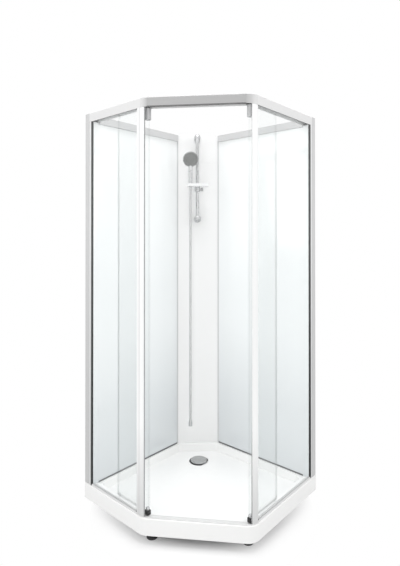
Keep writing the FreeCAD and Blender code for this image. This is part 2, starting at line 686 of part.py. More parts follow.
def pivot(line):
    """Hinge axis of the open door, where its own line meets the front door line."""
    return meet(line["start"], line["inward"], line["door_line"], FRONT_IN, DOOR_LINE_FRONT)


def door_reach():
    """Hinge axis to rear edge, which is also how far the hinge axis travels."""
    span = (pivot(RIGHT) - pivot(LEFT)).Length
    return span / 2 - BLOCK_WIDTH / 2 - MEETING_GAP


def placed(shape, origin, direction):
    """Puts a shape drawn along +X at the axis origin so that it points along a plan direction."""
    shape = shape.copy()
    shape.rotate(Vector(0, 0, 0), UP, math.degrees(math.atan2(direction.y, direction.x)))
    shape.translate(origin)
    return shape


def rounded_block(z0, z1):
    x = BLOCK_WIDTH / 2
    y = BLOCK_THICK / 2
    outline = [Vector(-x, -y, 0), Vector(x, -y, 0), Vector(x, y, 0), Vector(-x, y, 0)]
    return plan_prism(outline, z0, z1, [BLOCK_ROUND] * 4)


def door_glass():
    reach = door_reach()
    half = DOOR_GLASS / 2
    lead = BLOCK_WIDTH / 2 - SEAL_GRIP - SEAL_NOSE
    glass = box(SEAL_GRIP - reach, lead, -half, half, DOOR_BOTTOM_Z, DOOR_TOP_Z)
    edge = NOTCH - BLOCK_WIDTH / 2
    glass = glass.cut(box(edge, lead, -half, half, TOP_BLOCK_Z, DOOR_TOP_Z))
    return glass.cut(box(edge, lead, -half, half, DOOR_BOTTOM_Z, LOW_NOTCH_TOP))


def door_seals(glass):
    reach = door_reach()
    half = DOOR_GLASS / 2 + SEAL_WALL
    lead = BLOCK_WIDTH / 2
    grip = lead - 2 * SEAL_GRIP - SEAL_NOSE
    front = box(grip, lead, -half, half, LOW_NOTCH_TOP, TOP_BLOCK_Z).cut(glass)
    guide_top = LOW_GUIDE_Z + LOW_BLOCK_HEIGHT
    slim = DOOR_GLASS / 2 + SEAL_WALL / 2
    rear = box(-reach, 2 * SEAL_GRIP - reach, -slim, slim, guide_top, DOOR_TOP_Z - GUIDE_LENGTH).cut(glass)
    drip = box(GUIDE_LENGTH - reach, -lead, -slim, slim, LOW_BLOCK_Z, DOOR_BOTTOM_Z + SEAL_GRIP).cut(glass)
    return [front, rear, drip]


def top_block(glass):
    top = TOP_BLOCK_Z + TOP_BLOCK_HEIGHT
    block = rounded_block(TOP_BLOCK_Z, top)
    block = block.cut(post(0, 0, PIVOT_HEAD_TOP, top, PIVOT_R + RUNNING))
    block = block.cut(post(0, 0, PIVOT_HEAD_BOTTOM - PIVOT_FREE, PIVOT_HEAD_TOP, PIVOT_HEAD_R + RUNNING))
    return block.cut(glass)


def bottom_block(glass):
    top = LOW_BLOCK_Z + LOW_BLOCK_HEIGHT
    block = rounded_block(LOW_BLOCK_Z, top).fuse(post(0, 0, PEG_BOTTOM, LOW_BLOCK_Z, PEG_R))
    return block.cut(post(0, 0, KNOB_SOCKET_FLOOR, top, KNOB_STEM_R + RUNNING)).cut(glass)


def release_knob():
    stem = post(0, 0, KNOB_STEM_BOTTOM, KNOB_UNDER, KNOB_STEM_R)
    dome = Part.makeSphere(KNOB_R, Vector(0, 0, KNOB_TOP - KNOB_R))
    dome = dome.fuse(post(0, 0, KNOB_UNDER, KNOB_TOP - KNOB_R, KNOB_R))
    return stem.fuse(dome.common(post(0, 0, KNOB_UNDER, KNOB_TOP, KNOB_R)))


def rear_guides(glass):
    reach = door_reach()
    x0 = -reach
    x1 = GUIDE_LENGTH - reach
    top = DOOR_TOP_Z + SEAL_GRIP
    low_top = LOW_GUIDE_Z + LOW_BLOCK_HEIGHT
    upper = box(x0, x1, -GUIDE_HALF, GUIDE_HALF, DOOR_TOP_Z - GUIDE_LENGTH, top)
    upper = upper.fuse(post((x0 + x1) / 2, 0, top, GUIDE_PIN_TOP, GUIDE_PIN_R))
    lower = box(x0, x1, -GUIDE_HALF, GUIDE_HALF, LOW_GUIDE_Z, low_top)
    return [upper.cut(glass), lower.cut(glass)]


def glider():
    x = BLOCK_WIDTH / 2 - GLIDER_SHORTER
    web = RAIL_WIDTH - RAIL_WALL
    y = min(DOOR_LINE_FRONT - TRACK_OUTER, web - DOOR_LINE_FRONT) - TRACK_WALL - GLIDER_SIDE_GAP
    neck = GLIDER_NECK / 2
    low = TRACK_LEDGE_Z + TRACK_WALL + SLIDE_GAP
    head = box(-x, x, -y, y, low, low + GLIDER_HEIGHT)
    body = head.fuse(box(-neck, neck, -neck, neck, GLIDER_NECK_BOTTOM, low))
    body = body.fuse(post(0, 0, PIVOT_HEAD_TOP - SLIDE_GAP, GLIDER_NECK_BOTTOM, PIVOT_R))
    return body.fuse(post(0, 0, PIVOT_HEAD_BOTTOM, PIVOT_HEAD_TOP - SLIDE_GAP, PIVOT_HEAD_R))


def doors():
    print("door reach and travel", round(door_reach(), 3))
    for name, line in SIDES.items():
        axis = pivot(line)
        lead = line["along"] * -1
        glass = door_glass()
        pieces = {"_door_glass": [glass],
                  "_door_seals": door_seals(glass),
                  "_door_top_block": [top_block(glass)],
                  "_door_bottom_block": [bottom_block(glass)],
                  "_door_guides": rear_guides(glass),
                  "_release_knob": [release_knob()]}
        for ending, solids in pieces.items():
            save(name + ending, *[placed(solid, axis, lead) for solid in solids])
        save(name + "_glider", placed(glider(), axis, ALONG))
        print(name, "hinge axis", round(axis.x, 3), round(axis.y, 3))


def on_column(shape):
    """Moves a shape from the column's own frame (x to the right, -y out of the face) to its place."""
    shape = shape.copy()
    shape.rotate(Vector(0, 0, 0), UP, 45)
    middle = WALL - COLUMN_LEG / 2
    shape.translate(Vector(-middle, middle, 0))
    return shape


def fixing(z, radius):
    """Wall fixing with a domed front that holds one end of the riser rail."""
    stem = Part.makeCylinder(radius, FIX_FRONT - radius / 2, Vector(RISER_X, 0, z), Vector(0, -1, 0))
    dome = Part.makeSphere(radius, Vector(RISER_X, radius - FIX_FRONT, z))
    front = Part.makeCylinder(radius, FIX_FRONT, Vector(RISER_X, 0, z), Vector(0, -1, 0))
    return stem.fuse(dome.common(front))


def riser():
    low = LOWER_FIX_Z - RISER_R
    high = UPPER_FIX_Z + RISER_R
    rail = tube(RISER_X, -RISER_OUT, low, high, RISER_R, RISER_R - RISER_WALL)
    hole = post(RISER_X, -RISER_OUT, low, high, RISER_R)
    collar_z = UPPER_FIX_Z - 2 * UPPER_FIX_R
    collar = Part.makeCone(RISER_R + RISER_WALL, UPPER_FIX_R - RISER_WALL, 2 * UPPER_FIX_R,
                           Vector(RISER_X, -RISER_OUT, collar_z))
    upper = fixing(UPPER_FIX_Z, UPPER_FIX_R).fuse(collar).cut(hole)
    lower = fixing(LOWER_FIX_Z, LOWER_FIX_R).cut(hole)
    save("riser_rail", on_column(rail))
    save("riser_fixings", on_column(upper), on_column(lower))


def slider():
    low = SLIDER_Z - SLIDER_HEIGHT / 2
    high = SLIDER_Z + SLIDER_HEIGHT / 2
    body = post(RISER_X, -RISER_OUT, low, high, SLIDER_R)
    boss_r = CLAMP_R - CLAMP_STEP
    boss_z = SLIDER_Z - boss_r
    boss_end = RISER_X + SLIDER_R + SHELF_RIM
    sideways = Vector(1, 0, 0)
    boss = Part.makeCylinder(boss_r, boss_end - RISER_X, Vector(RISER_X, -RISER_OUT, boss_z), sideways)
    body = body.fuse(boss).cut(post(RISER_X, -RISER_OUT, low, high, RISER_R + RUNNING))
    save("rail_slider", on_column(body))
    knob_x = boss_end + SLIDE_GAP
    knob = Part.makeCylinder(CLAMP_R, CLAMP_LENGTH, Vector(knob_x, -RISER_OUT, boss_z), sideways)
    for turn in range(0, 360, 45):
        groove_y = CLAMP_R * math.cos(math.radians(turn)) - RISER_OUT
        groove_z = CLAMP_R * math.sin(math.radians(turn)) + boss_z
        start = Vector(knob_x + CLAMP_STEP, groove_y, groove_z)
        groove = Part.makeCylinder(GRIP_GROOVE_R, CLAMP_LENGTH, start, sideways)
        knob = knob.cut(groove)
    save("slider_clamp_knob", on_column(knob))


def shelf():
    """Soap shelf in front of the slider, with the cone-shaped holder of the hand shower at its left end."""
    outline = [Vector(SHELF_LEFT, -SHELF_FRONT, 0), Vector(SHELF_RIGHT, -SHELF_FRONT, 0),
               Vector(SHELF_RIGHT, -SHELF_BACK, 0), Vector(SHELF_LEFT, -SHELF_BACK, 0)]
    top = SHELF_Z + SHELF_HEIGHT
    plate = plan_prism(outline, SHELF_Z, top, [SHELF_ROUND] * len(outline))
    bridge_x = SLIDER_R - SHELF_RIM
    bridge = box(RISER_X - bridge_x, RISER_X + bridge_x, -SHELF_BACK - SHELF_RIM, -RISER_OUT, SHELF_Z, top)
    holder = Part.makeCone(HOLDER_LOW_R, HOLDER_TOP_R, SHELF_HEIGHT, Vector(HAND_X, -HAND_OUT, SHELF_Z))
    mouth_half = HOSE_R + MOUTH_GAP
    mouth = box(SHELF_LEFT, HAND_X, -HAND_OUT - mouth_half, -HAND_OUT + mouth_half, SHELF_Z, top)
    dish_left = HAND_X + HOLDER_TOP_R + SHELF_RIM
    dish_right = SHELF_RIGHT - SHELF_RIM
    dish = box(dish_left, dish_right, -SHELF_FRONT + SHELF_RIM, -SHELF_BACK - SHELF_RIM,
               SHELF_Z + SHELF_FLOOR, top)
    collar = post(RISER_X, -RISER_OUT, SHELF_Z, top, SLIDER_R)
    shape = plate.fuse(bridge).cut(collar).cut(holder).cut(mouth).cut(dish)
    pitch = (dish_right - dish_left) / SHELF_SLOTS
    margin = SHELF_RIM + SHELF_ROUND
    for i in range(SHELF_SLOTS):
        slot_x = dish_left + pitch * (i + 0.5) - SLOT_WIDTH / 2
        slot = box(slot_x, slot_x + SLOT_WIDTH, -SHELF_FRONT + margin, -SHELF_BACK - margin, SHELF_Z, top)
        shape = shape.cut(slot)
    save("soap_shelf", on_column(shape.removeSplitter()))


def hand_shower():
    base = Vector(HAND_X, -HAND_OUT, CONE_NUT_TOP_Z)
    tip = Vector(HAND_X, -HAND_OUT - HANDLE_LEAN, HANDLE_TOP_Z)
    handle = Part.makeCone(HANDLE_LOW_R, HANDLE_TOP_R, (tip - base).Length, base, tip - base)
    handle = handle.cut(box(HAND_X - 2 * HANDLE_TOP_R, HAND_X + 2 * HANDLE_TOP_R, -2 * HAND_OUT, 0,
                            CONE_NUT_TOP_Z - HANDLE_TOP_R, CONE_NUT_TOP_Z))
    tilt = math.radians(HEAD_TILT)
    out = Vector(0, -math.cos(tilt), -math.sin(tilt))
    face = Vector(HAND_X, -HEAD_OUT, HEAD_Z)
    plate = Part.makeCylinder(HEAD_R, HEAD_THICK, face - out * HEAD_THICK, out)
    dome_base = face - out * (HEAD_THICK + HEAD_DOME)
    dome = Part.makeCone(HEAD_R / 2, HEAD_R, HEAD_DOME, dome_base, out)
    spray = Part.makeCylinder(SPRAY_R, 2 * SPRAY_PROUD, face - out * SPRAY_PROUD, out)
    shell = handle.fuse(plate).fuse(dome).cut(spray)
    save("hand_shower", on_column(shell.removeSplitter()))
    save("spray_face", on_column(spray))


def hose():
    route = [Vector(HAND_X, -out, z) for out, z in HOSE_ROUTE]
    edges = []
    last = route[0]
    radii = []
    for i in range(1, len(route) - 1):
        back = route[i - 1] - route[i]
        ahead = route[i + 1] - route[i]
        shorter = min(back.Length, ahead.Length)
        back.normalize()
        ahead.normalize()
        half_turn = (math.pi - back.getAngle(ahead)) / 2
        reach = BEND_SHARE * shorter
        radius = reach / math.tan(half_turn)
        radii.append(round(radius))
        bisector = back + ahead
        bisector.normalize()
        middle = route[i] + bisector * (radius / math.cos(half_turn) - radius)
        first = route[i] + back * reach
        second = route[i] + ahead * reach
        edges.append(Part.LineSegment(last, first).toShape())
        edges.append(Part.Arc(first, middle, second).toShape())
        last = second
    edges.append(Part.LineSegment(last, route[-1]).toShape())
    path = Part.Wire(edges)
    length = path.Length
    rings = [Part.Wire(Part.makeCircle(r, route[0], UP)) for r in (HOSE_R, HOSE_BORE_R)]
    skin, bore = [path.makePipeShell([ring], True, False) for ring in rings]
    solid = skin.cut(bore)
    section = math.pi * (HOSE_R ** 2 - HOSE_BORE_R ** 2)
    ratio = solid.Volume / section / length
    print("hose length", round(length, 1), "radii", radii, "volume ratio", round(ratio, 4))
    save("shower_hose", on_column(solid))


def hose_nuts():
    rise = CONE_NUT_TOP_Z - CONE_NUT_LOW_Z
    slope = (HOLDER_TOP_R - HOLDER_LOW_R) / SHELF_HEIGHT
    low_r = HOLDER_LOW_R - NUT_GAP - slope * (SHELF_Z - CONE_NUT_LOW_Z)
    cone = Part.makeCone(low_r, low_r + slope * rise, rise, Vector(HAND_X, -HAND_OUT, CONE_NUT_LOW_Z))
    out, _ = HOSE_ROUTE[-1]
    top = END_NUT_Z + END_NUT_HEIGHT
    nut = post(HAND_X, -out, END_NUT_Z, top - END_THREAD_DEPTH, END_NUT_R)
    nut = nut.fuse(Part.makeCone(END_NUT_R, HOSE_R + RISER_WALL, END_THREAD_DEPTH,
                                 Vector(HAND_X, -out, top - END_THREAD_DEPTH)))
    nut = nut.cut(post(HAND_X, -out, END_NUT_Z, END_NUT_Z + END_THREAD_DEPTH, END_THREAD_R))
    save("hose_nuts", on_column(cone), on_column(nut))


os.makedirs("parts", exist_ok=True)
shower_tray()
tray_frame()
feet()
drain()
back_walls()
column()
side_panes()
corner_clips()
head_rails()
door_track()
sills()
doors()
riser()
slider()
shelf()
hand_shower()
hose()
hose_nuts()
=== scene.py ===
import json
import math

import bpy
from mathutils import Matrix, Vector


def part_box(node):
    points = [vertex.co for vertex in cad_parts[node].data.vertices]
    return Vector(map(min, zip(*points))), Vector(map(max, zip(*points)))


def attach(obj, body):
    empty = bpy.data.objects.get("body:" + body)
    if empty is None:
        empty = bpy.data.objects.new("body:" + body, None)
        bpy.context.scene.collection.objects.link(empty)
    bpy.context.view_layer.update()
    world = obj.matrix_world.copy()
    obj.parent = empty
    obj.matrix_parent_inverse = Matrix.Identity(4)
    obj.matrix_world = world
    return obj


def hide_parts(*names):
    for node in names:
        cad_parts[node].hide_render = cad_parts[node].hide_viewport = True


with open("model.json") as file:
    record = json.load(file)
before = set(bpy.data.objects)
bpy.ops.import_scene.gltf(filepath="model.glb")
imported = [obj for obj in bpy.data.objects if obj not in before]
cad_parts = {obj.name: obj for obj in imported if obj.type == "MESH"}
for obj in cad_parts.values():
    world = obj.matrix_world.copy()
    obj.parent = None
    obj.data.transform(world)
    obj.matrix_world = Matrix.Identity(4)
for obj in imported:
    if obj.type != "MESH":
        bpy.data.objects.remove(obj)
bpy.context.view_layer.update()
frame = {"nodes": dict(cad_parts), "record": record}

nodes = frame["nodes"]
up = Vector((0, 0, 1))
bodyOf = {node: body for body, names in frame["record"]["behaviour"]["bodies"].items() for node in names}

meshLook = {"smoothAngle": 35, "flatAngle": 10, "sharpAngle": 40, "dissolveAngle": 0.05, "mergeGap": 0.00002,
            "ringGap": 0.000002, "tipShare": 0.02}


def clearSelection():
    if bpy.context.mode != "OBJECT":
        bpy.ops.object.mode_set(mode="OBJECT")
    bpy.ops.object.select_all(action="DESELECT")


def selectOnly(piece):
    clearSelection()
    piece.select_set(True)
    bpy.context.view_layer.objects.active = piece


def editAll(piece):
    selectOnly(piece)
    bpy.ops.object.mode_set(mode="EDIT")
    bpy.ops.mesh.select_all(action="SELECT")


def finishPiece(piece, smoothAngle=meshLook["smoothAngle"]):
    # place goes into the mesh, modifiers are applied, edges stay crisp
    selectOnly(piece)
    bpy.ops.object.transform_apply(location=True, rotation=True, scale=True)
    for modifier in list(piece.modifiers):
        bpy.ops.object.modifier_apply(modifier=modifier.name)
    bpy.ops.object.shade_smooth_by_angle(angle=math.radians(smoothAngle))
    clearSelection()
    return piece


def addBevel(piece, name, width, angle):
    bevel = piece.modifiers.new(name, "BEVEL")
    bevel.width = width
    bevel.segments = 2
    bevel.limit_method = "ANGLE"
    bevel.angle_limit = math.radians(angle)


def joinPieces(name, pieces):
    clearSelection()
    for piece in pieces:
        piece.select_set(True)
    bpy.context.view_layer.objects.active = pieces[0]
    bpy.ops.object.join()
    joined = bpy.context.view_layer.objects.active
    joined.name = name
    joined.data.name = name
    clearSelection()
    return joined


def startRing(name, corners, radius, centre, turn=(0, 0, 0), filled=True):
    clearSelection()
    bpy.ops.mesh.primitive_circle_add(vertices=corners, radius=radius, location=centre, rotation=turn,
                                      fill_type="NGON" if filled else "NOTHING")
    piece = bpy.context.active_object
    piece.name = name
    bpy.ops.object.transform_apply(location=True, rotation=True, scale=True)
    editAll(piece)
    return piece


def drawRing(shift, size, centre):
    bpy.ops.mesh.extrude_region_move(TRANSFORM_OT_translate={"value": shift})
    bpy.ops.transform.resize(value=(size, size, size), center_override=centre)


def turnedPiece(name, centre, axis, profile, corners=64):
    # rings drawn out along an axis: profile is (distance along the axis, radius), a radius of 0 closes an end
    axis = Vector(axis).normalized()
    here = Vector(centre)
    along, startRadius = profile[0]
    closedStart = startRadius == 0
    radius = startRadius or profile[1][1] * meshLook["tipShare"]
    piece = startRing(name, corners, radius, here + axis * along, axis.to_track_quat("Z", "Y").to_euler(), closedStart)
    for nextAlong, nextRadius in profile[1:]:
        nextRadius = nextRadius or radius * meshLook["tipShare"]
        drawRing(axis * (nextAlong - along), nextRadius / radius, here + axis * nextAlong)
        along = nextAlong
        radius = nextRadius
    if profile[-1][1] == 0 and not closedStart:
        bpy.ops.mesh.edge_face_add()
    bpy.ops.mesh.select_all(action="SELECT")
    bpy.ops.mesh.remove_doubles(threshold=meshLook["ringGap"])
    bpy.ops.mesh.normals_make_consistent(inside=False)
    return finishPiece(piece)


def sweptPiece(name, stations, corners=40):
    # level rings one above the other, each with its own centre and radius
    here, radius = stations[0]
    piece = startRing(name, corners, radius, here)
    for centre, nextRadius in stations[1:]:
        drawRing(centre - here, nextRadius / radius, centre)
        here = centre
        radius = nextRadius
    bpy.ops.mesh.select_all(action="SELECT")
    bpy.ops.mesh.normals_make_consistent(inside=False)
    return finishPiece(piece)


def softCopy(node, name, width, smoothAngle=meshLook["smoothAngle"]):
    # a node's own shape with its sharp edges broken, which stands for the node
    piece = nodes[node].copy()
    piece.data = nodes[node].data.copy()
    bpy.context.scene.collection.objects.link(piece)
    for key in list(piece.keys()):
        del piece[key]
    piece.parent = None
    piece.matrix_world = Matrix.Identity(4)
    piece.name = name
    piece.data.name = name
    editAll(piece)
    bpy.ops.mesh.remove_doubles(threshold=meshLook["mergeGap"])
    bpy.ops.mesh.dissolve_limited(angle_limit=math.radians(meshLook["dissolveAngle"]))
    clearSelection()
    addBevel(piece, "brokenEdges", width, meshLook["sharpAngle"])
    finishPiece(piece, smoothAngle)
    # large faces stay flat beside their broken edges
    piece.modifiers.new("flatFaces", "WEIGHTED_NORMAL").keep_sharp = True
    selectOnly(piece)
    bpy.ops.object.modifier_apply(modifier="flatFaces")
    clearSelection()
    return piece


def place(piece, node, mat):
    # the piece takes the node's place, body and material slot
    piece.data.materials.clear()
    piece.data.materials.append(mat)
    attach(piece, bodyOf[node])
    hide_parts(node)


def shadeFaces(piece, mat, wanted):
    # a second material on the faces that are wanted
    piece.data.materials.append(mat)
    for face in piece.data.polygons:
        face.material_index = 1 if wanted(face.normal, face.center) else 0


def plainName(node):
    return node.removeprefix("left_").removeprefix("right_")


def pieceName(start, node):
    return start + "".join(word.capitalize() for word in node.split("_"))


def middleOf(node):
    low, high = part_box(node)
    return (low[0] + high[0]) / 2, (low[1] + high[1]) / 2


def copyTo(piece, shift):
    copy = piece.copy()
    copy.data = piece.data.copy()
    copy.data.transform(Matrix.Translation(shift))
    bpy.context.scene.collection.objects.link(copy)
    return copy


cameraView = {"place": (1.6169, -1.8384, 1.4471), "tilt": 90.316, "heading": 41.65,
              "lens": 28.43, "sensor": 36, "shiftUp": -0.0889, "shiftSide": 0.0007}


def addCamera():
    data = bpy.data.cameras.new("studioCamera")
    data.lens = cameraView["lens"]
    data.sensor_width = cameraView["sensor"]
    data.shift_x = cameraView["shiftSide"]
    data.shift_y = cameraView["shiftUp"]
    camera = bpy.data.objects.new("studioCamera", data)
    camera.location = cameraView["place"]
    camera.rotation_euler = (math.radians(cameraView["tilt"]), 0, math.radians(cameraView["heading"]))
    bpy.context.scene.collection.objects.link(camera)
    bpy.context.scene.camera = camera


addCamera()
print("camera set")


def newMaterial(name):
    mat = bpy.data.materials.new(name)
    mat.use_nodes = True
    tree = mat.node_tree
    return mat, tree, tree.nodes["Principled BSDF"]


def setSockets(node, values):
    for name, value in values.items():
        node.inputs[name].default_value = value


def addMapping(tree, stretch=(1, 1, 1)):
    coords = tree.nodes.new("ShaderNodeTexCoord")
    mapping = tree.nodes.new("ShaderNodeMapping")
    mapping.inputs["Scale"].default_value = stretch
    tree.links.new(coords.outputs["Object"], mapping.inputs["Vector"])
    return mapping


def addNoise(tree, stretch, scale, detail=3):
    noise = tree.nodes.new("ShaderNodeTexNoise")
    setSockets(noise, {"Scale": scale, "Detail": detail})
    tree.links.new(addMapping(tree, stretch).outputs["Vector"], noise.inputs["Vector"])
    return noise.outputs["Fac"]


def addWave(tree, mapping, scale, kind="BANDS"):
    # bands one above the other, or rings round an upright line
    wave = tree.nodes.new("ShaderNodeTexWave")
    wave.wave_type = kind
    wave.bands_direction = "Z"
    wave.rings_direction = "Z"
    wave.inputs["Scale"].default_value = scale
    tree.links.new(mapping.outputs["Vector"], wave.inputs["Vector"])
    return wave


def addRange(tree, source, low, high, fromLow=0.3, fromHigh=0.7):
    # the usual source is a noise, most of which lies between 0.3 and 0.7
    spread = tree.nodes.new("ShaderNodeMapRange")
    setSockets(spread, {"From Min": fromLow, "From Max": fromHigh, "To Min": low, "To Max": high})
    tree.links.new(source, spread.inputs["Value"])
    return spread.outputs["Result"]


def addMath(tree, operation, first, *others):
    node = tree.nodes.new("ShaderNodeMath")
    node.operation = operation
    tree.links.new(first, node.inputs[0])
    for number, other in enumerate(others, 1):
        if isinstance(other, float):
            node.inputs[number].default_value = other
        else:
            tree.links.new(other, node.inputs[number])
    return node.outputs["Value"]


def addTint(tree, share, dark, light):
    tint = tree.nodes.new("ShaderNodeMix")
    tint.data_type = "RGBA"
    setSockets(tint, {"A": (*dark, 1), "B": (*light, 1)})
    tree.links.new(share, tint.inputs["Factor"])
    return tint.outputs["Result"]


def addBlend(tree, share, first, second):
    blend = tree.nodes.new("ShaderNodeMix")
    blend.data_type = "RGBA"
    tree.links.new(share, blend.inputs["Factor"])
    tree.links.new(first, blend.inputs["A"])
    tree.links.new(second, blend.inputs["B"])
    return blend.outputs["Result"]


def addAxis(tree, axis, mapping=None):
    parts = tree.nodes.new("ShaderNodeSeparateXYZ")
    tree.links.new((mapping or addMapping(tree)).outputs["Vector"], parts.inputs["Vector"])
    return parts.outputs[axis]


def addHeight(tree, low, high):
    # 0 below the low height and 1 above the high one
    return addRange(tree, addAxis(tree, "Z"), 0, 1, low, high)


def addBump(tree, shader, height, strength, distance):
    bump = tree.nodes.new("ShaderNodeBump")
    setSockets(bump, {"Strength": strength, "Distance": distance})
    tree.links.new(height, bump.inputs["Height"])
    tree.links.new(bump.outputs["Normal"], shader.inputs["Normal"])


def mixShaders(tree, share, first, second, end="Material Output"):
    mix = tree.nodes.new("ShaderNodeMixShader")
    tree.links.new(share, mix.inputs["Fac"])
    tree.links.new(first, mix.inputs[1])
    tree.links.new(second, mix.inputs[2])
    tree.links.new(mix.outputs["Shader"], tree.nodes[end].inputs["Surface"])


surfaceUsual = {"stretch": (1, 1, 1), "tone": 0.03, "roughSpread": 0.05, "bump": 0.1, "relief": 0.0001,
                "metal": 0.0, "coat": 0.0, "coatRough": 0.05, "grooveShades": (0.5, 0.55)}


def surface(name, look):
    # colour, gloss and fine relief that all come from one stretched noise
    look = {**surfaceUsual, **look}
    mat, tree, shader = newMaterial(name)
    noise = addNoise(tree, look["stretch"], look["grain"])
    share = addRange(tree, noise, 0, 1)

    def shades(colour, dark, light=1):
        return addTint(tree, share, [c * dark for c in colour], [c * light for c in colour])

    colour = shades(look["colour"], 1 - look["tone"])
    # painted shade: below the given heights the colour turns into the darker foot colour
    if "foot" in look:
        foot = shades(look["foot"], 1 - look["tone"])
        colour = addBlend(tree, addHeight(tree, *look["heights"]), foot, colour)
    # painted shade: a darker band at the groove's place across X
    if "grooveAt" in look:
        inGroove = addMath(tree, "COMPARE", addAxis(tree, "X"), look["grooveAt"], look["grooveHalf"])
        colour = addBlend(tree, inGroove, colour, shades(look["colour"], *look["grooveShades"]))
    tree.links.new(colour, shader.inputs["Base Color"])
    rough = look["rough"]
    spread = look["roughSpread"]
    tree.links.new(addRange(tree, noise, rough - spread, rough + spread), shader.inputs["Roughness"])
    addBump(tree, shader, noise, look["bump"], look["relief"])
    setSockets(shader, {"Metallic": look["metal"], "Coat Weight": look["coat"], "Coat Roughness": look["coatRough"]})
    return mat


surfaceLooks = {
    "trayAcrylic": {"colour": (0.93, 0.93, 0.925), "rough": 0.24, "roughSpread": 0.03, "grain": 30,
                    "tone": 0.008, "bump": 0.02, "coat": 0.2},
    # painted shade: a greyer copy of the tray acrylic for the skirt's upright faces
    "traySkirt": {"colour": (0.83, 0.83, 0.825), "rough": 0.24, "roughSpread": 0.03, "grain": 30,
                  "tone": 0.008, "bump": 0.02, "coat": 0.2},
    "whiteColumn": {"colour": (0.93, 0.932, 0.93), "rough": 0.32, "roughSpread": 0.02, "grain": 20,
                    "tone": 0.006, "bump": 0.015, "coat": 0.1},
    "shelfWhite": {"colour": (0.88, 0.885, 0.89), "rough": 0.25, "grain": 120, "tone": 0.015, "bump": 0.04,
                   "relief": 0.0002, "coat": 0.2},
    # painted shade: the front rail is a darker copy of the side rails' aluminium, and its foot colour paints a shadow
    # strip along its lower edge
    "frontAluminium": {"colour": (0.46, 0.46, 0.46), "foot": (0.10, 0.10, 0.10), "heights": (2.0560, 2.0572),
                       "rough": 0.5, "grain": 90, "stretch": (1, 1, 14), "tone": 0.05, "bump": 0.06, "metal": 0.2},
    "sideAluminium": {"colour": (0.76, 0.76, 0.76), "rough": 0.5, "grain": 90, "stretch": (1, 1, 14),
                      "tone": 0.05, "bump": 0.06, "metal": 0.1},
    # painted light: a lighter copy of the rail aluminium for the rails' shaded insides
    "railInside": {"colour": (0.94, 0.94, 0.94), "rough": 0.6, "grain": 90, "stretch": (1, 1, 14),
                   "tone": 0.04, "bump": 0.06},
    # painted shade: the post, holder and corner aluminium darken towards their foot colour lower down
    "postAluminium": {"colour": (0.63, 0.632, 0.635), "foot": (0.56, 0.562, 0.565), "heights": (0.3, 1.4),
                      "rough": 0.42, "grain": 160, "stretch": (8, 8, 0.05), "tone": 0.07, "bump": 0.08,
                      "metal": 0.35},
    "holderAluminium": {"colour": (0.82, 0.822, 0.825), "foot": (0.66, 0.662, 0.665), "heights": (0.3, 1.4),
                        "rough": 0.4, "grain": 160, "stretch": (8, 8, 0.05), "tone": 0.05, "bump": 0.08,
                        "metal": 0.3},
    "cornerAluminium": {"colour": (0.90, 0.905, 0.905), "foot": (0.61, 0.612, 0.612), "heights": (0.12, 0.55),
                        "rough": 0.4, "grain": 160, "stretch": (8, 8, 0.05), "tone": 0.04, "bump": 0.05,
                        "metal": 0.05},
    "bandAluminium": {"colour": (0.62, 0.622, 0.625), "rough": 0.5, "grain": 90, "stretch": (1, 1, 12),
                      "bump": 0.05, "metal": 0.05},
    "sillAluminium": {"colour": (0.74, 0.74, 0.74), "rough": 0.42, "grain": 120, "stretch": (1, 1, 8),
                      "tone": 0.04, "bump": 0.05, "metal": 0.05},
    "frameSteel": {"colour": (0.10, 0.103, 0.107), "rough": 0.6, "grain": 700, "tone": 0.25, "bump": 0.35,
                   "relief": 0.0002},
    "footPlastic": {"colour": (0.028, 0.028, 0.029), "rough": 0.6, "grain": 900, "tone": 0.3, "bump": 0.3,
                    "relief": 0.0002},
    "wastePlastic": {"colour": (0.72, 0.72, 0.71), "rough": 0.45, "grain": 300, "tone": 0.05},
    # painted shade: the black rubber darkens towards its foot colour lower down
    "blackRubber": {"colour": (0.14, 0.141, 0.142), "foot": (0.030, 0.031, 0.032), "heights": (0.3, 1.4),
                    "rough": 0.65, "grain": 260, "stretch": (4, 4, 0.3), "tone": 0.3, "bump": 0.25, "relief": 0.0002},
    # painted light: a lighter grey copy of the gasket rubber for the top gaskets
    "gasketGrey": {"colour": (0.42, 0.422, 0.425), "rough": 0.6, "grain": 260, "stretch": (2, 2, 0.5),
                   "tone": 0.1, "bump": 0.2, "relief": 0.0002},
    "sealGrey": {"colour": (0.16, 0.165, 0.17), "rough": 0.6, "grain": 260, "stretch": (2, 2, 0.5),
                 "tone": 0.2, "bump": 0.2, "relief": 0.0002},
    "greyTrim": {"colour": (0.66, 0.665, 0.67), "rough": 0.5, "grain": 300, "stretch": (2, 2, 0.2), "tone": 0.06},
    "silverBlock": {"colour": (0.52, 0.525, 0.53), "rough": 0.42, "grain": 420, "tone": 0.08, "metal": 0.1},
    "blackBlock": {"colour": (0.030, 0.030, 0.031), "rough": 0.5, "grain": 700, "tone": 0.3, "bump": 0.25},
    "gliderNylon": {"colour": (0.022, 0.022, 0.023), "rough": 0.45, "grain": 600, "tone": 0.3, "bump": 0.15},
    "blackPlastic": {"colour": (0.020, 0.020, 0.021), "rough": 0.5, "grain": 500, "tone": 0.3, "bump": 0.2},
    "chrome": {"colour": (0.52, 0.525, 0.53), "rough": 0.28, "roughSpread": 0.03, "grain": 30, "bump": 0.004,
               "metal": 0.9},
    "sprayGrey": {"colour": (0.27, 0.275, 0.27), "rough": 0.5, "grain": 500, "tone": 0.12, "bump": 0.15},
}
# the left corner profile has a groove down its face, which is painted darker as painted shade
surfaceLooks["groovedAluminium"] = {**surfaceLooks["cornerAluminium"], "grooveAt": -0.0072, "grooveHalf": 0.0013}
finish = {name: surface(name, look) for name, look in surfaceLooks.items()}


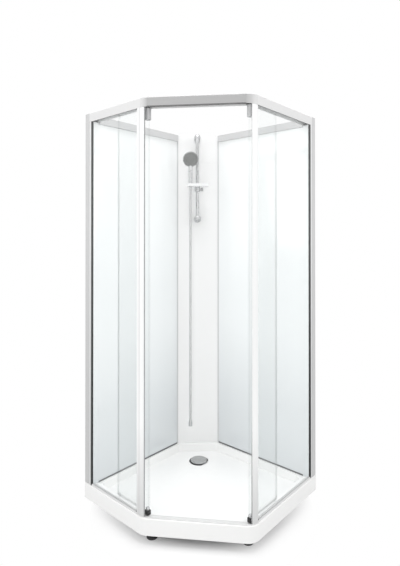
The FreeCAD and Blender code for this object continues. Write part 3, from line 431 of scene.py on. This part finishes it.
zincLook = {"dark": (0.50, 0.49, 0.46), "light": (0.66, 0.65, 0.62), "crystals": 450, "crystalRange": (0.1, 0.8),
            "threads": 210, "bump": 0.5, "relief": 0.0005, "rough": 0.35}


def zincPlate():
    # small crystals with a faint yellow, and fine rings for a thread
    mat, tree, shader = newMaterial("zincPlate")
    mapping = addMapping(tree)
    crystals = tree.nodes.new("ShaderNodeTexVoronoi")
    crystals.inputs["Scale"].default_value = zincLook["crystals"]
    tree.links.new(mapping.outputs["Vector"], crystals.inputs["Vector"])
    share = addRange(tree, crystals.outputs["Distance"], 0, 1, *zincLook["crystalRange"])
    tree.links.new(addTint(tree, share, zincLook["dark"], zincLook["light"]), shader.inputs["Base Color"])
    thread = addWave(tree, mapping, zincLook["threads"])
    addBump(tree, shader, thread.outputs["Fac"], zincLook["bump"], zincLook["relief"])
    setSockets(shader, {"Metallic": 1.0, "Roughness": zincLook["rough"]})
    return mat


ringLook = {"centre": (-0.199, 0.196), "dark": (0.36, 0.37, 0.37), "light": (0.46, 0.465, 0.465), "flatten": 0.02,
            "rings": 160, "waver": 1.2, "rough": (0.26, 0.4), "bump": 0.1, "relief": 0.0001, "metal": 0.45}


def satinRings():
    # brushed steel for the drain cover, with its marks in rings round the middle
    mat, tree, shader = newMaterial("satinRings")
    mapping = addMapping(tree, (1, 1, ringLook["flatten"]))
    mapping.inputs["Location"].default_value = (-ringLook["centre"][0], -ringLook["centre"][1], 0)
    wave = addWave(tree, mapping, ringLook["rings"], "RINGS")
    setSockets(wave, {"Distortion": ringLook["waver"], "Detail": 3})
    rings = wave.outputs["Fac"]
    share = addRange(tree, rings, 0, 1, 0, 1)
    tree.links.new(addTint(tree, share, ringLook["dark"], ringLook["light"]), shader.inputs["Base Color"])
    tree.links.new(addRange(tree, rings, *ringLook["rough"], 0, 1), shader.inputs["Roughness"])
    addBump(tree, shader, rings, ringLook["bump"], ringLook["relief"])
    shader.inputs["Metallic"].default_value = ringLook["metal"]
    return mat


# body is how much of its own colour a face shows when seen straight on, most is how much it may show at its edge
seeThroughUsual = {"detail": 2, "tone": 0.97, "roughSpread": 1.5, "most": 1}


def seeThrough(name, look):
    # a clear body that shows a little of its own colour, and more of it at a low angle
    look = {**seeThroughUsual, **look}
    mat, tree, shader = newMaterial(name)
    smears = addNoise(tree, look["stretch"], look["grain"], look["detail"])
    dark = [c * look["tone"] for c in look["colour"]]
    tree.links.new(addTint(tree, addRange(tree, smears, 0, 1), dark, look["colour"]), shader.inputs["Base Color"])
    tree.links.new(addRange(tree, smears, look["rough"], look["rough"] * look["roughSpread"]),
                   shader.inputs["Roughness"])
    clear = tree.nodes.new("ShaderNodeBsdfTransparent")
    clear.inputs["Color"].default_value = (*look["clear"], 1)
    gloss = tree.nodes.new("ShaderNodeFresnel")
    gloss.inputs["IOR"].default_value = look["ior"]
    body = addRange(tree, gloss.outputs["Fac"], look["body"], look["most"], 0, look["reach"])
    if "footBody" in look:
        # clearer with height
        fade = addRange(tree, addHeight(tree, *look["heights"]), look["footBody"], look["body"], 0, 1)
        body = addMath(tree, "MAXIMUM", fade, body)
    mixShaders(tree, body, clear.outputs["BSDF"], shader.outputs["BSDF"])
    return mat


seeThroughLooks = {
    "clearGlass": {"colour": (0.90, 0.93, 0.93), "clear": (0.996, 0.999, 0.9985), "stretch": (1, 1, 0.4),
                   "grain": 6, "rough": 0.05, "ior": 1.2, "body": 0.004, "most": 0.05, "reach": 0.115},
    "glassEdge": {"colour": (0.78, 0.84, 0.83), "clear": (0.98, 0.99, 0.988), "stretch": (1, 1, 0.1),
                  "grain": 40, "rough": 0.15, "ior": 1.12, "body": 0.03, "reach": 5.0},
    "clearVinyl": {"colour": (0.90, 0.905, 0.905), "clear": (0.995, 0.996, 0.996), "stretch": (3, 3, 0.2),
                   "grain": 200, "rough": 0.3, "ior": 1.12, "body": 0.012, "reach": 6.0},
    "paleSeal": {"colour": (0.40, 0.405, 0.41), "clear": (0.85, 0.855, 0.86), "stretch": (3, 3, 0.2),
                 "grain": 160, "rough": 0.35, "ior": 1.35, "body": 0.75, "reach": 1.4},
    "fadedSeal": {"colour": (0.42, 0.425, 0.43), "clear": (0.99, 0.991, 0.991), "stretch": (3, 3, 0.2),
                  "grain": 160, "rough": 0.35, "ior": 1.12, "body": 0.02, "reach": 5.0, "footBody": 0.75,
                  "heights": (0.12, 0.62)},
}


panelLook = {"top": (0.95, 0.965, 0.965), "middle": (0.885, 0.908, 0.913), "foot": (0.71, 0.74, 0.755),
             "topHeight": 2.06, "middleHeight": 1.0, "footHeight": 0.12, "grain": 9, "rough": (0.1, 0.16),
             "coat": 0.5, "coatRough": 0.02}


def whiteGlassPanel():
    # back-painted glass with a painted reflection that gets a little greyer towards the foot
    mat, tree, shader = newMaterial("whiteGlassPanel")
    height = addHeight(tree, panelLook["footHeight"], panelLook["topHeight"])
    ramp = tree.nodes.new("ShaderNodeValToRGB")
    ramp.color_ramp.interpolation = "EASE"
    ramp.color_ramp.elements[0].color = (*panelLook["foot"], 1)
    ramp.color_ramp.elements[1].color = (*panelLook["top"], 1)
    span = panelLook["topHeight"] - panelLook["footHeight"]
    middle = ramp.color_ramp.elements.new((panelLook["middleHeight"] - panelLook["footHeight"]) / span)
    middle.color = (*panelLook["middle"], 1)
    tree.links.new(height, ramp.inputs["Fac"])
    tree.links.new(ramp.outputs["Color"], shader.inputs["Base Color"])
    noise = addNoise(tree, (1, 1, 1), panelLook["grain"], 2)
    tree.links.new(addRange(tree, noise, *panelLook["rough"]), shader.inputs["Roughness"])
    setSockets(shader, {"Coat Weight": panelLook["coat"], "Coat Roughness": panelLook["coatRough"]})
    return mat


# left and right say how far along the front, from its middle, the painted shade of the front's grey turns into the
# lighter grey of the sides
cornerRailLook = {"heading": 34.91, "left": (0.229, 0.281), "right": (0.2255, 0.305), "rough": (0.44, 0.54),
                  "bump": 0.06, "relief": 0.0001, "metal": 0.15}


def cornerRail(frontLook, sideLook):
    # painted shade: the rounded corners of the head rail turn from the front's darker grey to the lighter grey of the
    # sides, by where they lie along the front
    mat, tree, shader = newMaterial("cornerRail")
    heading = math.radians(-cornerRailLook["heading"])
    turned = addMapping(tree)
    turned.inputs["Rotation"].default_value = (0, 0, heading)
    middle = Vector((*middleOf("front_rail"), 0))
    middle.rotate(Matrix.Rotation(heading, 3, "Z"))
    along = addAxis(tree, "X", turned)
    leftNear, leftFar = cornerRailLook["left"]
    rightNear, rightFar = cornerRailLook["right"]
    leftShare = addRange(tree, along, 1, 0, middle.x - leftFar, middle.x - leftNear)
    rightShare = addRange(tree, along, 0, 1, middle.x + rightNear, middle.x + rightFar)
    share = addMath(tree, "MAXIMUM", leftShare, rightShare)
    tree.links.new(addTint(tree, share, frontLook["colour"], sideLook["colour"]), shader.inputs["Base Color"])
    grain = addNoise(tree, frontLook["stretch"], frontLook["grain"])
    tree.links.new(addRange(tree, grain, *cornerRailLook["rough"]), shader.inputs["Roughness"])
    addBump(tree, shader, grain, cornerRailLook["bump"], cornerRailLook["relief"])
    shader.inputs["Metallic"].default_value = cornerRailLook["metal"]
    return mat


hoseLook = {"dark": (0.34, 0.345, 0.35), "light": (0.70, 0.705, 0.71), "tilt": (6, 5), "bands": 62,
            "bandRange": (0.1, 0.6), "rough": (0.35, 0.2), "bump": 0.6, "relief": 0.0008, "metal": 0.75}


def spiralHose():
    # silver hose with a fine spiral band
    mat, tree, shader = newMaterial("spiralHose")
    mapping = addMapping(tree)
    mapping.inputs["Rotation"].default_value = (*map(math.radians, hoseLook["tilt"]), 0)
    bands = addWave(tree, mapping, hoseLook["bands"]).outputs["Fac"]
    share = addRange(tree, bands, 0, 1, *hoseLook["bandRange"])
    tree.links.new(addTint(tree, share, hoseLook["dark"], hoseLook["light"]), shader.inputs["Base Color"])
    tree.links.new(addRange(tree, bands, *hoseLook["rough"], 0, 1), shader.inputs["Roughness"])
    addBump(tree, shader, bands, hoseLook["bump"], hoseLook["relief"])
    shader.inputs["Metallic"].default_value = hoseLook["metal"]
    return mat


finish["zincPlate"] = zincPlate()
finish["satinRings"] = satinRings()
for name, look in seeThroughLooks.items():
    finish[name] = seeThrough(name, look)
finish["whiteGlassPanel"] = whiteGlassPanel()
finish["spiralHose"] = spiralHose()
finish["cornerRail"] = cornerRail(surfaceLooks["frontAluminium"], surfaceLooks["sideAluminium"])

# a name without its side stands for both sides
nodeFinish = {
    "shower_tray": "trayAcrylic", "tray_frame": "frameSteel", "foot_studs": "zincPlate", "foot_pads": "footPlastic",
    "waste_flange": "holderAluminium", "waste_gasket": "blackRubber", "waste_body": "wastePlastic",
    "waste_dip_tube": "wastePlastic", "drain_cover": "satinRings",
    "back_panel": "whiteGlassPanel", "back_top_profiles": "bandAluminium", "back_panel_seals": "sealGrey",
    "column_edge_trims": "greyTrim", "corner_column": "whiteColumn", "column_top_cover": "whiteColumn",
    "side_glass": "clearGlass", "wall_profile": "postAluminium", "glass_profile": "holderAluminium",
    "left_corner_profile": "groovedAluminium", "right_corner_profile": "cornerAluminium",
    "glass_gaskets": "blackRubber", "corner_seals": "paleSeal", "corner_clips": "blackPlastic",
    "rail": "sideAluminium", "front_rail": "frontAluminium", "rail_corners": "cornerRail",
    "door_track": "blackPlastic", "sill": "sillAluminium", "front_sill": "sillAluminium",
    "riser_rail": "chrome", "riser_fixings": "chrome", "rail_slider": "chrome", "soap_shelf": "shelfWhite",
    "slider_clamp_knob": "chrome", "hand_shower": "chrome", "spray_face": "sprayGrey",
    "shower_hose": "spiralHose", "hose_nuts": "chrome",
    "glider": "gliderNylon", "door_glass": "clearGlass", "door_seals": "clearVinyl",
    "door_top_block": "silverBlock", "door_bottom_block": "blackBlock", "door_guides": "clearVinyl",
    "release_knob": "chrome",
}


def finishFor(node):
    return finish[nodeFinish.get(node) or nodeFinish[plainName(node)]]


def finishNodes():
    for name, node in nodes.items():
        node.data.materials.clear()
        node.data.materials.append(finishFor(name))


finishNodes()
print("materials on", len(nodes), "nodes")


columnFace = {"middle": 0.2975, "riserX": -0.006, "riserOut": 0.048, "handX": -0.051, "handOut": 0.092}


def onColumn(x, out, z):
    # x to the right along the column face, out of the face, height
    half = math.sqrt(0.5)
    return Vector((half * (x + out) - columnFace["middle"], half * (x - out) + columnFace["middle"], z))


def alongColumn(x, out, z):
    half = math.sqrt(0.5)
    return Vector((half * (x + out), half * (x - out), z)).normalized()


# cone steps are (height, how far below the cone's surface), the others (height, radius)
nutLook = {"coneAt": 1.750, "coneRadius": 0.01065, "coneSlope": 0.1875,
           "coneSteps": [(1.7462, 0.0008), (1.7470, 0), (1.7660, 0), (1.7664, 0.0006), (1.7672, 0.0006),
                         (1.7676, 0), (1.7696, 0), (1.7700, 0.0006)],
           "endSteps": [(0.2800, 0), (0.2800, 0.0102), (0.2655, 0.0102), (0.2650, 0.0107), (0.2655, 0.0114),
                        (0.2680, 0.0115), (0.2684, 0.0109), (0.2690, 0.0109), (0.2694, 0.0115), (0.2850, 0.0115),
                        (0.2862, 0.0112), (0.2920, 0.0096), (0.2990, 0.0086), (0.3010, 0.0082), (0.3010, 0)]}
# route is (out of the column's face, height)
hose = {"diameter": 0.014, "length": 1.445, "curveOrder": 3, "curveSteps": 24, "roundSteps": 6,
        "route": [(0.092, 1.746), (0.092, 1.716), (0.0896, 1.678), (0.088, 1.630),
                  (0.088, 0.346), (0.0872, 0.322), (0.0872, 0.301)]}


def addHoseNuts():
    # cone nut with two grip grooves under the handle, and the free end nut with its washer seat
    steps = [(z, nutLook["coneRadius"] + nutLook["coneSlope"] * (z - nutLook["coneAt"]) - inset)
             for z, inset in nutLook["coneSteps"]]
    top = onColumn(columnFace["handX"], columnFace["handOut"], 0)
    cone = turnedPiece("coneNut", top, up, [(steps[0][0], 0), *steps, (steps[-1][0], 0)])
    foot = onColumn(columnFace["handX"], hose["route"][-1][0], 0)
    nut = turnedPiece("endNut", foot, up, nutLook["endSteps"])
    nuts = joinPieces("hoseNuts", [cone, nut])
    place(nuts, "hose_nuts", finish["chrome"])
    return nuts


def addHose(nuts):
    points = [onColumn(columnFace["handX"], out, z) for out, z in hose["route"]]
    curve = bpy.data.curves.new("hangingHose", "CURVE")
    curve.dimensions = "3D"
    spline = curve.splines.new("NURBS")
    spline.points.add(len(points) - 1)
    for point, spot in zip(spline.points, points):
        point.co = (*spot, 1)
    spline.order_u = hose["curveOrder"]
    spline.use_endpoint_u = True
    curve.resolution_u = hose["curveSteps"]
    curve.bevel_depth = hose["diameter"] / 2
    curve.bevel_resolution = hose["roundSteps"]
    curve.use_fill_caps = True
    piece = bpy.data.objects.new("hangingHose", curve)
    bpy.context.scene.collection.objects.link(piece)
    place(piece, "shower_hose", finish["spiralHose"])


# head, disc and nozzle are (distance along the spray, radius), handle is (out of the column's face, height, radius)
handShower = {
    "faceOut": 0.125, "faceZ": 1.912, "tilt": 25, "corners": 96, "nozzleCorners": 10,
    "head": [(-0.0258, 0), (-0.0258, 0.010), (-0.0254, 0.017), (-0.0240, 0.0235), (-0.0205, 0.0310),
             (-0.0165, 0.0385), (-0.0130, 0.0436), (-0.0095, 0.0468), (-0.0055, 0.0482), (-0.0020, 0.0485),
             (-0.0006, 0.0481), (-0.0001, 0.0472), (-0.0001, 0.0440), (-0.0012, 0.0431), (-0.0040, 0.0431),
             (-0.0040, 0)],
    "handle": [(0.0920, 1.7701, 0.0104), (0.0920, 1.7706, 0.0110), (0.0921, 1.7740, 0.0112),
               (0.0921, 1.7744, 0.0106), (0.0921, 1.7752, 0.0106), (0.0922, 1.7756, 0.0112),
               (0.0930, 1.7950, 0.0114), (0.0940, 1.8200, 0.0117), (0.0950, 1.8450, 0.0121),
               (0.0962, 1.8680, 0.0125), (0.0985, 1.8860, 0.0126), (0.1030, 1.9010, 0.0122),
               (0.1080, 1.9120, 0.0105)],
    "disc": [(-0.0018, 0), (-0.0018, 0.0429), (0.0002, 0.0429), (0.0008, 0.0422), (0.0010, 0.0405),
             (0.0010, 0.0330), (0.0007, 0.0322), (0.0007, 0.0312), (0.0010, 0.0305), (0.0012, 0.0150),
             (0.0012, 0.0140), (0.0012, 0.0060), (0.0012, 0)],
    "nozzle": [(0.0004, 0.00135), (0.0014, 0.0012), (0.0019, 0.0009), (0.0019, 0.0005), (0.0012, 0.0004),
               (0.0012, 0)],
    "nozzleRings": [(0.009, 6), (0.018, 12), (0.027, 18), (0.036, 24)]}


def addHandShower():
    x = columnFace["handX"]
    tilt = math.radians(handShower["tilt"])
    face = onColumn(x, handShower["faceOut"], handShower["faceZ"])
    aim = alongColumn(0, math.cos(tilt), -math.sin(tilt))
    head = turnedPiece("showerHead", face, aim, handShower["head"], handShower["corners"])
    handle = sweptPiece("showerHandle", [(onColumn(x, out, z), radius) for out, z, radius in handShower["handle"]])
    place(joinPieces("handShowerBody", [head, handle]), "hand_shower", finish["chrome"])
    disc = turnedPiece("sprayDisc", face, aim, handShower["disc"], handShower["corners"])
    side = alongColumn(1, 0, 0)
    rise = aim.cross(side)
    spots = []
    for ring, count in handShower["nozzleRings"]:
        for i in range(count):
            turn = 2 * math.pi * i / count
            spots.append(face + side * ring * math.cos(turn) + rise * ring * math.sin(turn))
    first = turnedPiece("nozzle", spots[0], aim, handShower["nozzle"], handShower["nozzleCorners"])
    copies = [copyTo(first, spot - spots[0]) for spot in spots[1:]]
    place(joinPieces("sprayFace", [disc, first, *copies]), "spray_face", finish["sprayGrey"])


addHose(addHoseNuts())
addHandShower()
print("hand shower, nuts and hose hang on the column")


# how wide the broken edges of each kind of node are
softEdges = {
    "shower_tray": 0.0022, "corner_column": 0.0014, "column_top_cover": 0.0014, "back_top_profiles": 0.0008,
    "wall_profile": 0.0006, "glass_profile": 0.0006, "corner_profile": 0.0008, "rail": 0.0008, "front_rail": 0.0008,
    "rail_corners": 0.0008, "sill": 0.0005, "front_sill": 0.0005, "tray_frame": 0.0012,
    "door_top_block": 0.0010, "door_bottom_block": 0.0010, "door_guides": 0.0010, "glider": 0.0008,
    "door_seals": 0.0005, "soap_shelf": 0.0011, "rail_slider": 0.0010, "slider_clamp_knob": 0.0006,
    "riser_fixings": 0.0012, "back_panel_seals": 0.0005, "corner_clips": 0.0006}


def softenNodes():
    for node in list(nodes):
        width = softEdges.get(node) or softEdges.get(plainName(node))
        if width:
            smoothAngle = meshLook["flatAngle" if "seals" in node else "smoothAngle"]
            place(softCopy(node, pieceName("soft", node), width, smoothAngle), node, finishFor(node))


softenNodes()
print("edges broken on", len(softEdges), "kinds of node")


gasketLook = {"edge": 0.0003, "topAbove": 2.03}


def paintLightOnTopGaskets():
    # painted light: the gasket along the top of each pane is painted light grey, where the rail above it shades it
    gaskets = softCopy("glass_gaskets", "softGlassGaskets", gasketLook["edge"])
    place(gaskets, "glass_gaskets", finish["blackRubber"])
    shadeFaces(gaskets, finish["gasketGrey"], lambda normal, middle: middle.z > gasketLook["topAbove"])


# outward is the way each rail's face looks, rearWall how far behind it the rear wall begins
railLook = {"outward": {"softLeftRail": (0, -1), "softRightRail": (1, 0), "softFrontRail": (0.5724, -0.82)},
            "rearWall": 0.03, "facing": 0.5}


def lightenRails():
    # painted light: the underside of each rail and the inner face of its rear wall are painted plain and light,
    # against the shade inside the rail
    for name, out in railLook["outward"].items():
        piece = bpy.data.objects[name]
        outward = Vector((*out, 0))
        front = max(vertex.co.dot(outward) for vertex in piece.data.vertices)
        shadeFaces(piece, finish["railInside"], lambda normal, middle: normal.z < -railLook["facing"] or (
            normal.dot(outward) > railLook["facing"] and front - middle.dot(outward) > railLook["rearWall"]))


holderLook = {"inward": {"softLeftGlassProfile": (1, 0, 0), "softRightGlassProfile": (0, -1, 0)}, "facing": 0.7}


def lightenHolders():
    # painted light: the inner returns of the glass holders are painted as white as the walls behind them
    for name, inward in holderLook["inward"].items():
        shadeFaces(bpy.data.objects[name], finish["whiteGlassPanel"],
                   lambda normal, middle: normal.dot(Vector(inward)) > holderLook["facing"])


lipLook = {"edge": 0.0002, "rightFrom": 0.2}


def addCornerLips():
    # both lips are dark, and the right one only at its foot
    lips = softCopy("corner_seals", "cornerLips", lipLook["edge"], meshLook["flatAngle"])
    place(lips, "corner_seals", finish["paleSeal"])
    shadeFaces(lips, finish["fadedSeal"], lambda normal, middle: middle.x > lipLook["rightFrom"])


skirtLook = {"steep": 0.75, "outside": 0.1}


def shadeSkirt():
    # painted shade: the outside of the skirt is painted a shade greyer than the basin
    shadeFaces(bpy.data.objects["softShowerTray"], finish["traySkirt"], lambda normal, middle: (
        abs(normal.z) < skirtLook["steep"] and normal.x * middle.x + normal.y * middle.y > skirtLook["outside"]))


paintLightOnTopGaskets()
lightenRails()
lightenHolders()
addCornerLips()
shadeSkirt()
print("second shades on gaskets, rails, holders, lips and skirt")


paneLook = {"edges": {"left_side_glass": 0.0006, "right_side_glass": 0.0006, "left_door_glass": 0.0007,
                      "right_door_glass": 0.0007}, "facing": 0.9}


def addPanes():
    # panes with polished edges, which show the green of the glass
    for node, width in paneLook["edges"].items():
        pane = softCopy(node, pieceName("pane", node), width, meshLook["flatAngle"])
        place(pane, node, finish["clearGlass"])
        low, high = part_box(node)
        across = 0 if high[0] - low[0] < high[1] - low[1] else 1
        shadeFaces(pane, finish["glassEdge"], lambda normal, middle: abs(normal[across]) <= paneLook["facing"])


addPanes()
print("panes have polished edges")


# every profile is (height, radius)
drainLook = {
    "corners": 96, "footTurns": (90, 210, 330), "footRing": 0.044, "footCorners": 20,
    "flange": [(0.0590, 0.0380), (0.0590, 0.0440), (0.0720, 0.0440), (0.0720, 0.0575), (0.0738, 0.0575),
               (0.0746, 0.0571), (0.0750, 0.0562), (0.0750, 0.0524), (0.0746, 0.0515), (0.0743, 0.0505),
               (0.0743, 0.0400), (0.0740, 0.0386), (0.0730, 0.0380), (0.0660, 0.0380), (0.0660, 0.0313),
               (0.0630, 0.0313), (0.0630, 0.0380), (0.0590, 0.0380)],
    "cap": [(0.0773, 0), (0.0773, 0.0485), (0.0776, 0.0494), (0.0783, 0.0500), (0.0803, 0.0500),
            (0.0810, 0.0495), (0.0814, 0.0482), (0.0817, 0.0450), (0.0819, 0.0415), (0.0814, 0.0411),
            (0.0814, 0.0399), (0.0820, 0.0395), (0.0826, 0.0300), (0.0830, 0.0190), (0.0833, 0.0080),
            (0.0833, 0)],
    "skirt": [(0.0700, 0.0350), (0.0700, 0.0370), (0.0774, 0.0370), (0.0774, 0.0350), (0.0700, 0.0350)],
    "foot": [(0.0753, 0), (0.0753, 0.0025), (0.0757, 0.0030), (0.0774, 0.0030), (0.0774, 0)]}


def addDrain():
    # flange with a raised rim, and a domed cover with a rolled edge and one groove, on three small feet
    x, y = middleOf("waste_flange")
    centre = (x, y, 0)
    flange = turnedPiece("wasteFlange", centre, up, drainLook["flange"], drainLook["corners"])
    place(flange, "waste_flange", finish["holderAluminium"])
    cap = turnedPiece("drainCap", centre, up, drainLook["cap"], drainLook["corners"])
    skirt = turnedPiece("drainSkirt", centre, up, drainLook["skirt"])
    feet = []
    for turn in drainLook["footTurns"]:
        footX = x + drainLook["footRing"] * math.cos(math.radians(turn))
        footY = y + drainLook["footRing"] * math.sin(math.radians(turn))
        feet.append(turnedPiece("coverFoot", (footX, footY, 0), up, drainLook["foot"], drainLook["footCorners"]))
    place(joinPieces("drainCover", [cap, skirt, *feet]), "drain_cover", finish["satinRings"])


addDrain()
print("drain made")


# foot steps are (above the foot, radius), bead steps (above the middle of the dome, radius)
knobLook = {"corners": 48, "radius": 0.010, "domeSteps": (12, 25, 38, 51, 64, 77),
            "footSteps": [(0, 0), (0, 0.0064), (0.0006, 0.0070)],
            "beadSteps": [(-0.0025, 0.0070), (-0.0025, 0.0094), (-0.0020, 0.0100), (-0.0010, 0.0100),
                          (-0.0007, 0.0096), (0, 0.0096), (0.0004, 0.0099)]}


def addReleaseKnobs():
    # sprung domes with a bead round the foot
    radius = knobLook["radius"]
    for side in ("left", "right"):
        node = side + "_release_knob"
        low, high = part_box(node)
        middle = high[2] - radius
        steps = [(low[2] + rise, width) for rise, width in knobLook["footSteps"]]
        steps += [(middle + rise, width) for rise, width in knobLook["beadSteps"]]
        steps += [(middle + radius * math.sin(math.radians(step)), radius * math.cos(math.radians(step)))
                  for step in knobLook["domeSteps"]]
        steps.append((high[2], 0))
        knob = turnedPiece(side + "ReleaseKnob", (*middleOf(node), 0), up, steps, knobLook["corners"])
        place(knob, node, finish["chrome"])


addReleaseKnobs()


riserLook = {"radius": 0.010, "wall": 0.0015, "chamfer": 0.0005}


def addRiser():
    bottom, top = (corner[2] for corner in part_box("riser_rail"))
    centre = onColumn(columnFace["riserX"], columnFace["riserOut"], 0)
    radius = riserLook["radius"]
    bore = radius - riserLook["wall"]
    chamfer = riserLook["chamfer"]
    rail = turnedPiece("riserRail", centre, up, [
        (bottom, bore), (bottom, radius - chamfer), (bottom + chamfer, radius), (top - chamfer, radius),
        (top, radius - chamfer), (top, bore), (bottom, bore)])
    place(rail, "riser_rail", finish["chrome"])


addRiser()


# pad is (height, radius)
footLook = {
    "padRadius": 0.027, "padCorners": 48, "floorBand": 0.0005,
    "pad": [(0.0000, 0), (0.0000, 0.0262), (0.0008, 0.0270), (0.0085, 0.0270), (0.0095, 0.0263), (0.0100, 0.0250),
            (0.0104, 0.0242), (0.0150, 0.0188), (0.0188, 0.0143), (0.0196, 0.0135), (0.0200, 0.0126),
            (0.0200, 0.0058), (0.0195, 0.0050), (0.0121, 0.0050), (0.0121, 0)],
    "studRadius": 0.005, "studCorners": 20, "studChamfer": 0.001, "threadStart": 0.002, "threadPitch": 0.0015,
    "threadDepth": 0.0006,
    "nutAcross": 0.017, "nutLow": 0.033, "nutHigh": 0.043, "nutInsets": (0.0012, 0.0022), "nutEdge": 0.0007,
    "nutSharp": 50, "nutTurn": 30, "facing": 0.9}


def footPlaces():
    # middles of the five pads, read from the corners of their mesh at floor level
    points = [vertex.co for vertex in nodes["foot_pads"].data.vertices if vertex.co.z < footLook["floorBand"]]
    groups = []
    for point in points:
        near = next((g for g in groups if (g[0] - point).length < 3 * footLook["padRadius"]), None)
        if near:
            near.append(point)
        else:
            groups.append([point])
    middles = []
    for group in groups:
        xs = [point.x for point in group]
        ys = [point.y for point in group]
        middles.append(((min(xs) + max(xs)) / 2, (min(ys) + max(ys)) / 2))
    return middles


def hexagonNut(x, y):
    clearSelection()
    depth = footLook["nutHigh"] - footLook["nutLow"]
    bpy.ops.mesh.primitive_cylinder_add(vertices=6, radius=footLook["nutAcross"] / math.sqrt(3), depth=depth,
                                        location=(x, y, footLook["nutLow"] + depth / 2))
    nut = bpy.context.active_object
    nut.name = "lockNut"
    editAll(nut)
    bpy.ops.mesh.select_mode(type="FACE")
    clearSelection()
    for face in nut.data.polygons:
        face.select = abs(face.normal.z) > footLook["facing"]
    selectOnly(nut)
    bpy.ops.object.mode_set(mode="EDIT")
    for inset in footLook["nutInsets"]:
        bpy.ops.mesh.inset(thickness=inset, use_individual=True)
    clearSelection()
    addBevel(nut, "turnedCorners", footLook["nutEdge"], footLook["nutSharp"])
    # turned so that two corners point along X, as on the studs
    nut.rotation_euler = (0, 0, math.radians(footLook["nutTurn"]))
    return finishPiece(nut)


def addFeet():
    # round pads, threaded studs and a locknut under the frame
    low, high = (corner[2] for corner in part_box("foot_studs"))
    radius = footLook["studRadius"]
    root = radius - footLook["threadDepth"]
    chamfer = footLook["studChamfer"]
    thread = [(low, 0), (low, radius - chamfer), (low + chamfer, root)]
    height = low + footLook["threadStart"]
    while height < high - footLook["threadStart"]:
        thread += [(height, radius), (height + footLook["threadPitch"] / 2, root)]
        height += footLook["threadPitch"]
    thread += [(high - chamfer, root), (high, radius - chamfer), (high, 0)]
    places = footPlaces()
    firstX, firstY = places[0]
    stud = turnedPiece("footStud", (firstX, firstY, 0), up, thread, footLook["studCorners"])
    nut = hexagonNut(firstX, firstY)
    pad = turnedPiece("footPad", (firstX, firstY, 0), up, footLook["pad"], footLook["padCorners"])
    studs = [stud, nut]
    pads = [pad]
    for x, y in places[1:]:
        shift = Vector((x - firstX, y - firstY, 0))
        studs += [copyTo(stud, shift), copyTo(nut, shift)]
        pads.append(copyTo(pad, shift))
    place(joinPieces("footStuds", studs), "foot_studs", finish["zincPlate"])
    place(joinPieces("footPads", pads), "foot_pads", finish["footPlastic"])


addFeet()
print("feet, riser and knobs made")


def seenShare(tree):
    # 1 for what is seen straight, through glass or in a gloss, and 0 for the light that falls on the object
    path = tree.nodes.new("ShaderNodeLightPath")
    seen = addMath(tree, "MAXIMUM", path.outputs["Is Camera Ray"], path.outputs["Is Transmission Ray"])
    return addMath(tree, "MAXIMUM", seen, path.outputs["Is Glossy Ray"])


# between the two radii the floor turns white, so that only the object's shadow shows
stageLook = {"floorSize": 14.0, "floorDown": 0.0005, "cuts": 8, "nearRadius": 0.34, "farRadius": 0.60,
             "tone": 0.93, "grain": 3, "rough": 0.9, "specular": 0.1}


def addFloor():
    clearSelection()
    bpy.ops.mesh.primitive_plane_add(size=stageLook["floorSize"], location=(0, 0, -stageLook["floorDown"]))
    floor = bpy.context.active_object
    floor.name = "studioFloor"
    bpy.ops.object.transform_apply(location=True, rotation=True, scale=True)
    editAll(floor)
    bpy.ops.mesh.subdivide(number_cuts=stageLook["cuts"])
    clearSelection()
    mat, tree, shader = newMaterial("studioFloor")
    tone = stageLook["tone"]
    grain = addNoise(tree, (1, 1, 1), stageLook["grain"], 2)
    tree.links.new(addTint(tree, grain, (tone * 0.99,) * 3, (tone,) * 3), shader.inputs["Base Color"])
    setSockets(shader, {"Roughness": stageLook["rough"], "Specular IOR Level": stageLook["specular"]})
    coords = tree.nodes.new("ShaderNodeTexCoord")
    reach = tree.nodes.new("ShaderNodeVectorMath")
    reach.operation = "LENGTH"
    tree.links.new(coords.outputs["Object"], reach.inputs[0])
    far = addRange(tree, reach.outputs["Value"], 0, 1, stageLook["nearRadius"], stageLook["farRadius"])
    share = addMath(tree, "MULTIPLY", far, seenShare(tree))
    white = tree.nodes.new("ShaderNodeEmission")
    mixShaders(tree, share, shader.outputs["BSDF"], white.outputs["Emission"])
    floor.data.materials.append(mat)


# each lamp is its name, place, aim, size and power
lampLook = {"world": 0.66,
            "lamps": [("keyLeft", (-1.0, -3.4, 2.4), (-0.1, 0.1, 1.1), 2.4, 28),
                      ("keyRight", (3.4, 1.0, 2.4), (-0.1, 0.1, 1.1), 2.4, 28),
                      ("front", (1.5, -2.45, 1.35), (-0.2, 0.2, 0.7), 0.9, 10.5),
                      ("top", (0.1, -0.1, 4.2), (0, 0, 0), 2.0, 58)]}


def addWorld():
    world = bpy.data.worlds.new("studioWorld")
    bpy.context.scene.world = world
    world.use_nodes = True
    tree = world.node_tree
    soft = tree.nodes["Background"]
    setSockets(soft, {"Color": (1, 1, 1, 1), "Strength": lampLook["world"]})
    white = tree.nodes.new("ShaderNodeBackground")
    white.inputs["Color"].default_value = (1, 1, 1, 1)
    mixShaders(tree, seenShare(tree), soft.outputs["Background"], white.outputs["Background"], "World Output")


def addLamps():
    for name, spot, aim, size, power in lampLook["lamps"]:
        data = bpy.data.lights.new(name, "AREA")
        data.shape = "SQUARE"
        data.size = size
        data.energy = power
        lamp = bpy.data.objects.new(name, data)
        lamp.location = spot
        lamp.rotation_euler = (Vector(aim) - Vector(spot)).to_track_quat("-Z", "Y").to_euler()
        bpy.context.scene.collection.objects.link(lamp)


addFloor()
addWorld()
addLamps()
bpy.context.scene.view_settings.view_transform = "Standard"
print("stage and lamps set")
